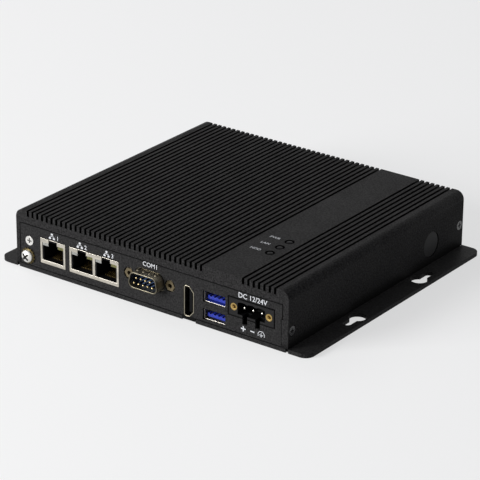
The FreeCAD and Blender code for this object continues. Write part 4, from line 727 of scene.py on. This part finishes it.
def make_jack_contacts(node):
    """Gold spring wires, in gold darkened as painted shade, that rise from the cavity's floor and bend back
    into the insert.

    WIRE_PATH gives the wire's bends as shares of the contact's length and rise.
    """
    wires = islands(node)

    def build(shape):
        for low, high in wires:
            length = high.y - low.y
            rise = high.z - low.z - WIRE_THICKNESS
            section = ((low.x, 0), (high.x, 0), (high.x, WIRE_THICKNESS), (low.x, WIRE_THICKNESS))
            rows = []
            for along, up in WIRE_PATH:
                y = low.y + length * along
                z = low.z + rise * up
                rows.append([shape.verts.new((x, y, z + lift)) for x, lift in section])
            skin(shape, rows)
    item = build_piece(node + "_wires", build, WIRE)
    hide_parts(node)


def make_jack_windows(node):
    """Lamp windows: grey-white on the left of each jack, yellow-green on the right."""
    pairs = islands(node)
    kinds = {"grey": (0.30, 0.30, 0.28), "green": (0.13, 0.125, 0.035)}
    for side, (kind, colour) in enumerate(kinds.items()):
        chosen = pairs[side::2]

        def build(shape):
            for low, high in chosen:
                block(shape, low, high)
        name = f"{node}_{kind}"
        item = bevelled(build_piece(name, build, translucent(name, colour)), 0.12)
        if side == 0:
            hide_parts(node)


# ---------------------------------------------------------------- print

PRINT_TH = 0.03 * MM
PRINT_Y = FRONT_Y - PRINT_TH / 2
CAPITAL_SHARE = 0.69      # a capital's height in the built-in font, as a share of the font's size
TEXT_SWELL = 0.010        # how far the letters' outlines grow, as a share of their height
ARC_STEP = 9              # degrees
NETWORK_SCALE = 1.15
LAMP_WORDS = ("HDD", "LAN", "PWR")    # from the front to the back
LAMP_WORD_SHIFT = 8.5 * MM            # how far left of its hole each word is
LAMP_WORD_HEIGHT = 1.9 * MM
NUMBER_HEIGHT = 2.2 * MM
SERIAL_HEIGHT = 2.3 * MM
SUPPLY_HEIGHT = 2.5 * MM

# Millimetres to the right of and above the part that the print belongs to
NETWORK_SIGN = (-1.2, 2.9)
NETWORK_NUMBER = (2.4, 2.5)
NETWORK_SHIFTS = (0.9, 0.3, 1.6)      # each pair's own further shift to the right
SERIAL_WORD = (0.7, 7.5)
SUPPLY_WORDS = (0.75, 2.2)
SUPPLY_PLUS = (-4.49, -5.2)
SUPPLY_MINUS = (0.81, -5.2)
SUPPLY_EARTH = (5.91, -5.5)


def on_front(x, z, offset):
    """A place for print on the front: an offset in millimetres from x and z."""
    return Vector((x + offset[0] * MM, PRINT_Y, z + offset[1] * MM))


def add_text(name, words, place, height, normal="front"):
    """Flat print: the place is the middle of the words, the height that of a capital."""
    curve = bpy.data.curves.new(name, "FONT")
    curve.body = words
    curve.align_x = "CENTER"
    curve.align_y = "CENTER"
    curve.size = height / CAPITAL_SHARE
    curve.extrude = PRINT_TH / 2
    curve.offset = height * TEXT_SWELL
    curve.resolution_u = 3
    item = new_object(name, curve)
    mesh = applied_mesh(item)
    bpy.data.objects.remove(item)
    turn = Matrix.Rotation(math.radians(90), 4, "X") if normal == "front" else Matrix.Identity(4)
    mesh.transform(Matrix.Translation(place) @ turn)
    add_piece(name, mesh, INK)


def flat_bars(name, bars, place, scale=1.0):
    """Bars printed on the front: (x0, z0, x1, z1) in millimetres about the place."""
    def build(shape):
        for x0, z0, x1, z1 in bars:
            block(shape, place + Vector((x0 * scale * MM, -PRINT_TH / 2, z0 * scale * MM)),
                  place + Vector((x1 * scale * MM, PRINT_TH / 2, z1 * scale * MM)))
    build_piece(name, build, INK)


def flat_arc(name, place, radius, width, start, stop):
    """An arc printed on the front; lengths are in millimetres, angles in degrees."""
    steps = int((stop - start) / ARC_STEP)
    inner, outer = (radius - width / 2) * MM, (radius + width / 2) * MM
    lift = Vector((0, PRINT_TH / 2, 0))

    def build(shape):
        rows = []
        for n in range(steps + 1):
            angle = math.radians(start + (stop - start) * n / steps)
            ray = Vector((math.cos(angle), 0, math.sin(angle)))
            section = (ray * inner - lift, ray * inner + lift, ray * outer + lift, ray * outer - lift)
            rows.append([shape.verts.new(place + spot) for spot in section])
        skin(shape, rows)
    build_piece(name, build, INK)


def network_glyph(name, place):
    """Three linked boxes, the usual sign for a network port."""
    boxes = [(-0.55, 0.55, 0.55, 1.35), (-1.65, -1.3, -0.55, -0.5), (0.55, -1.3, 1.65, -0.5)]
    links = [(-0.1, 0.05, 0.1, 0.6), (-1.2, -0.1, 1.2, 0.1), (-1.2, -0.5, -1.0, 0.0), (1.0, -0.5, 1.2, 0.0)]
    flat_bars(name, boxes + links, place, NETWORK_SCALE)


def earth_glyph(name, place):
    """Protective earth: three bars under a stem, under an arch."""
    bars = [(-0.13, 0.0, 0.13, 1.25), (-1.05, -0.15, 1.05, 0.12), (-0.68, -0.62, 0.68, -0.38),
            (-0.3, -1.08, 0.3, -0.86)]
    flat_bars(name + "_bars", bars, place)
    flat_arc(name + "_arch", place, 1.85, 0.3, -25, 205)


def print_network_signs():
    """A network sign and a number over each jack."""
    dual_low, dual_high = low_high("lan_dual_shield")
    quarter = (dual_high.x - dual_low.x) / 4
    jacks = (middle(low_high("lan_single_shield")).x, dual_low.x + quarter, dual_high.x - quarter)
    jack_top = low_high("lan_single_insert")[1].z
    for n, (jack_x, shift) in enumerate(zip(jacks, NETWORK_SHIFTS), 1):
        x = jack_x + shift * MM
        network_glyph(f"print_network_{n}", on_front(x, jack_top, NETWORK_SIGN))
        number_place = on_front(x, jack_top, NETWORK_NUMBER)
        add_text(f"print_port_number_{n}", str(n), number_place, NUMBER_HEIGHT)


def print_supply_signs():
    """The supply's voltage over the power header, and the signs of its poles under it."""
    low, high = low_high("power_header_body")
    middle_x = (low.x + high.x) / 2
    words_place = on_front(middle_x, high.z, SUPPLY_WORDS)
    add_text("print_supply", "DC 12/24V", words_place, SUPPLY_HEIGHT)
    plus_bars = [(-1.35, -0.3, 1.35, 0.3), (-0.3, 0.3, 0.3, 1.35), (-0.3, -1.35, 0.3, -0.3)]
    flat_bars("print_plus", plus_bars, on_front(middle_x, low.z, SUPPLY_PLUS))
    flat_bars("print_minus", [(-1.2, -0.28, 1.2, 0.28)], on_front(middle_x, low.z, SUPPLY_MINUS))
    earth_glyph("print_earth", on_front(middle_x, low.z, SUPPLY_EARTH))


def make_print():
    """The signs and words on the front."""
    print_network_signs()
    serial = middle(low_high("serial_shell"))
    add_text("print_serial", "COM1", on_front(serial.x, serial.z, SERIAL_WORD), SERIAL_HEIGHT)
    print_supply_signs()


def make_indicator_print():
    """A short word on the band beside each indicator hole."""
    holes = sorted((middle(pair) for pair in islands("light_guides")), key=lambda place: place.y)
    for hole, word in zip(holes, LAMP_WORDS):
        place = Vector((hole.x - LAMP_WORD_SHIFT, hole.y, TOP_Z + PRINT_TH / 2))
        add_text(f"print_lamp_{word.lower()}", word, place, LAMP_WORD_HEIGHT, "top")


# ---------------------------------------------------------------- stage, light and camera

FILL_COLOUR = (0.9, 0.93, 1.0)
FILL_STRENGTH = 0.22
FLOOR_HALF_SIDE = 6
FLOOR_DROP = 0.2 * MM
FLOOR_TONE = (0.93, 0.93, 0.93)
FLOOR_WHITE_SHARE = 0.6
LIGHT_AIM = Vector((0, 0, 0.015))
LIGHT_SIDE = 0.8
LIGHTS = {
    "key": {"place": Vector((-0.85, -1.45, 0.55)), "watts": 41},
    "top": {"place": Vector((-1.25, 0.35, 1.05)), "watts": 4.6},
}
CAMERA = {"azimuth": 36.18, "elevation": 23.59, "roll": 0.483, "distance": 1.2737,
          "right": -0.000807, "up": 0.008371, "lens": 189.045, "sensor": 36}


def white_for_camera(tree, kind, surface, output, share):
    """Camera, glossy and transmission rays see this share of plain white; the rest see the real surface."""
    path = tree.nodes.new("ShaderNodeLightPath")
    white = tree.nodes.new(kind)
    white.inputs["Color"].default_value = (1, 1, 1, 1)
    white.inputs["Strength"].default_value = 1.0
    mix = tree.nodes.new("ShaderNodeMixShader")
    seen = math_node(tree, "MAXIMUM", path.outputs["Is Camera Ray"], path.outputs["Is Glossy Ray"])
    seen = math_node(tree, "MAXIMUM", seen, path.outputs["Is Transmission Ray"])
    link(tree, math_node(tree, "MULTIPLY", seen, share), mix.inputs["Fac"])
    link(tree, surface, mix.inputs[1])
    link(tree, white.outputs[0], mix.inputs[2])
    link(tree, mix.outputs["Shader"], output)


def make_world():
    """Plain white to look at, and a weak cool fill as light."""
    world = bpy.data.worlds.new("studio")
    bpy.context.scene.world = world
    world.use_nodes = True
    tree = world.node_tree
    fill = tree.nodes["Background"]
    fill.inputs["Color"].default_value = (*FILL_COLOUR, 1)
    fill.inputs["Strength"].default_value = FILL_STRENGTH
    output = tree.nodes["World Output"].inputs["Surface"]
    white_for_camera(tree, "ShaderNodeBackground", fill.outputs["Background"], output, 1.0)


def make_floor():
    """Pale floor, a little below the plate's underside so that the two never share a plane."""
    def build(shape):
        bmesh.ops.create_grid(shape, x_segments=1, y_segments=1, size=FLOOR_HALF_SIDE)
    floor = new_object("floor", mesh_from("floor", build))
    floor.location.z = -FLOOR_DROP
    material, tree, shader = new_material("floor")
    shader.inputs["Base Color"].default_value = (*FLOOR_TONE, 1)
    shader.inputs["Roughness"].default_value = 0.9
    output = next(node for node in tree.nodes if node.type == "OUTPUT_MATERIAL").inputs["Surface"]
    white_for_camera(tree, "ShaderNodeEmission", shader.outputs["BSDF"], output, FLOOR_WHITE_SHARE)
    floor.data.materials.append(material)


def make_lights():
    """Two square lamps aimed at the middle of the case."""
    for name, lamp in LIGHTS.items():
        light = bpy.data.lights.new(name, "AREA")
        light.shape = "SQUARE"
        light.size = LIGHT_SIDE
        light.energy = lamp["watts"]
        item = new_object(name, light)
        item.location = lamp["place"]
        item.rotation_euler = (LIGHT_AIM - lamp["place"]).to_track_quat("-Z", "Y").to_euler()


def make_camera():
    """The camera fitted to the photograph: angles in degrees, places in metres, lens in millimetres."""
    azimuth, elevation, roll = (math.radians(CAMERA[key]) for key in ("azimuth", "elevation", "roll"))
    level = math.cos(elevation)
    back = Vector((math.sin(azimuth) * level, -math.cos(azimuth) * level, math.sin(elevation)))
    across = Vector((0, 0, 1)).cross(back).normalized()
    upright = back.cross(across)
    right = math.cos(roll) * across + math.sin(roll) * upright
    up = -math.sin(roll) * across + math.cos(roll) * upright
    place = back * CAMERA["distance"] + right * CAMERA["right"] + up * CAMERA["up"]
    data = bpy.data.cameras.new("camera")
    data.sensor_width = CAMERA["sensor"]
    data.lens = CAMERA["lens"]
    data.clip_end = 50
    camera = new_object("camera", data)
    camera.matrix_world = Matrix.Translation(place) @ Matrix((right, up, back)).transposed().to_4x4()
    bpy.context.scene.camera = camera


# ---------------------------------------------------------------- the scene

dress_nodes()
make_earth_screw()
make_serial_pins()
make_shell_dimples()
make_light_guides()
make_header_bushes()
make_power_pins()
for jack in ("lan_single", "lan_dual"):
    make_jack_contacts(jack + "_contacts")
    make_jack_windows(jack + "_windows")
make_print()
make_indicator_print()
make_world()
make_floor()
make_lights()
make_camera()
bpy.context.scene.view_settings.view_transform = "Standard"
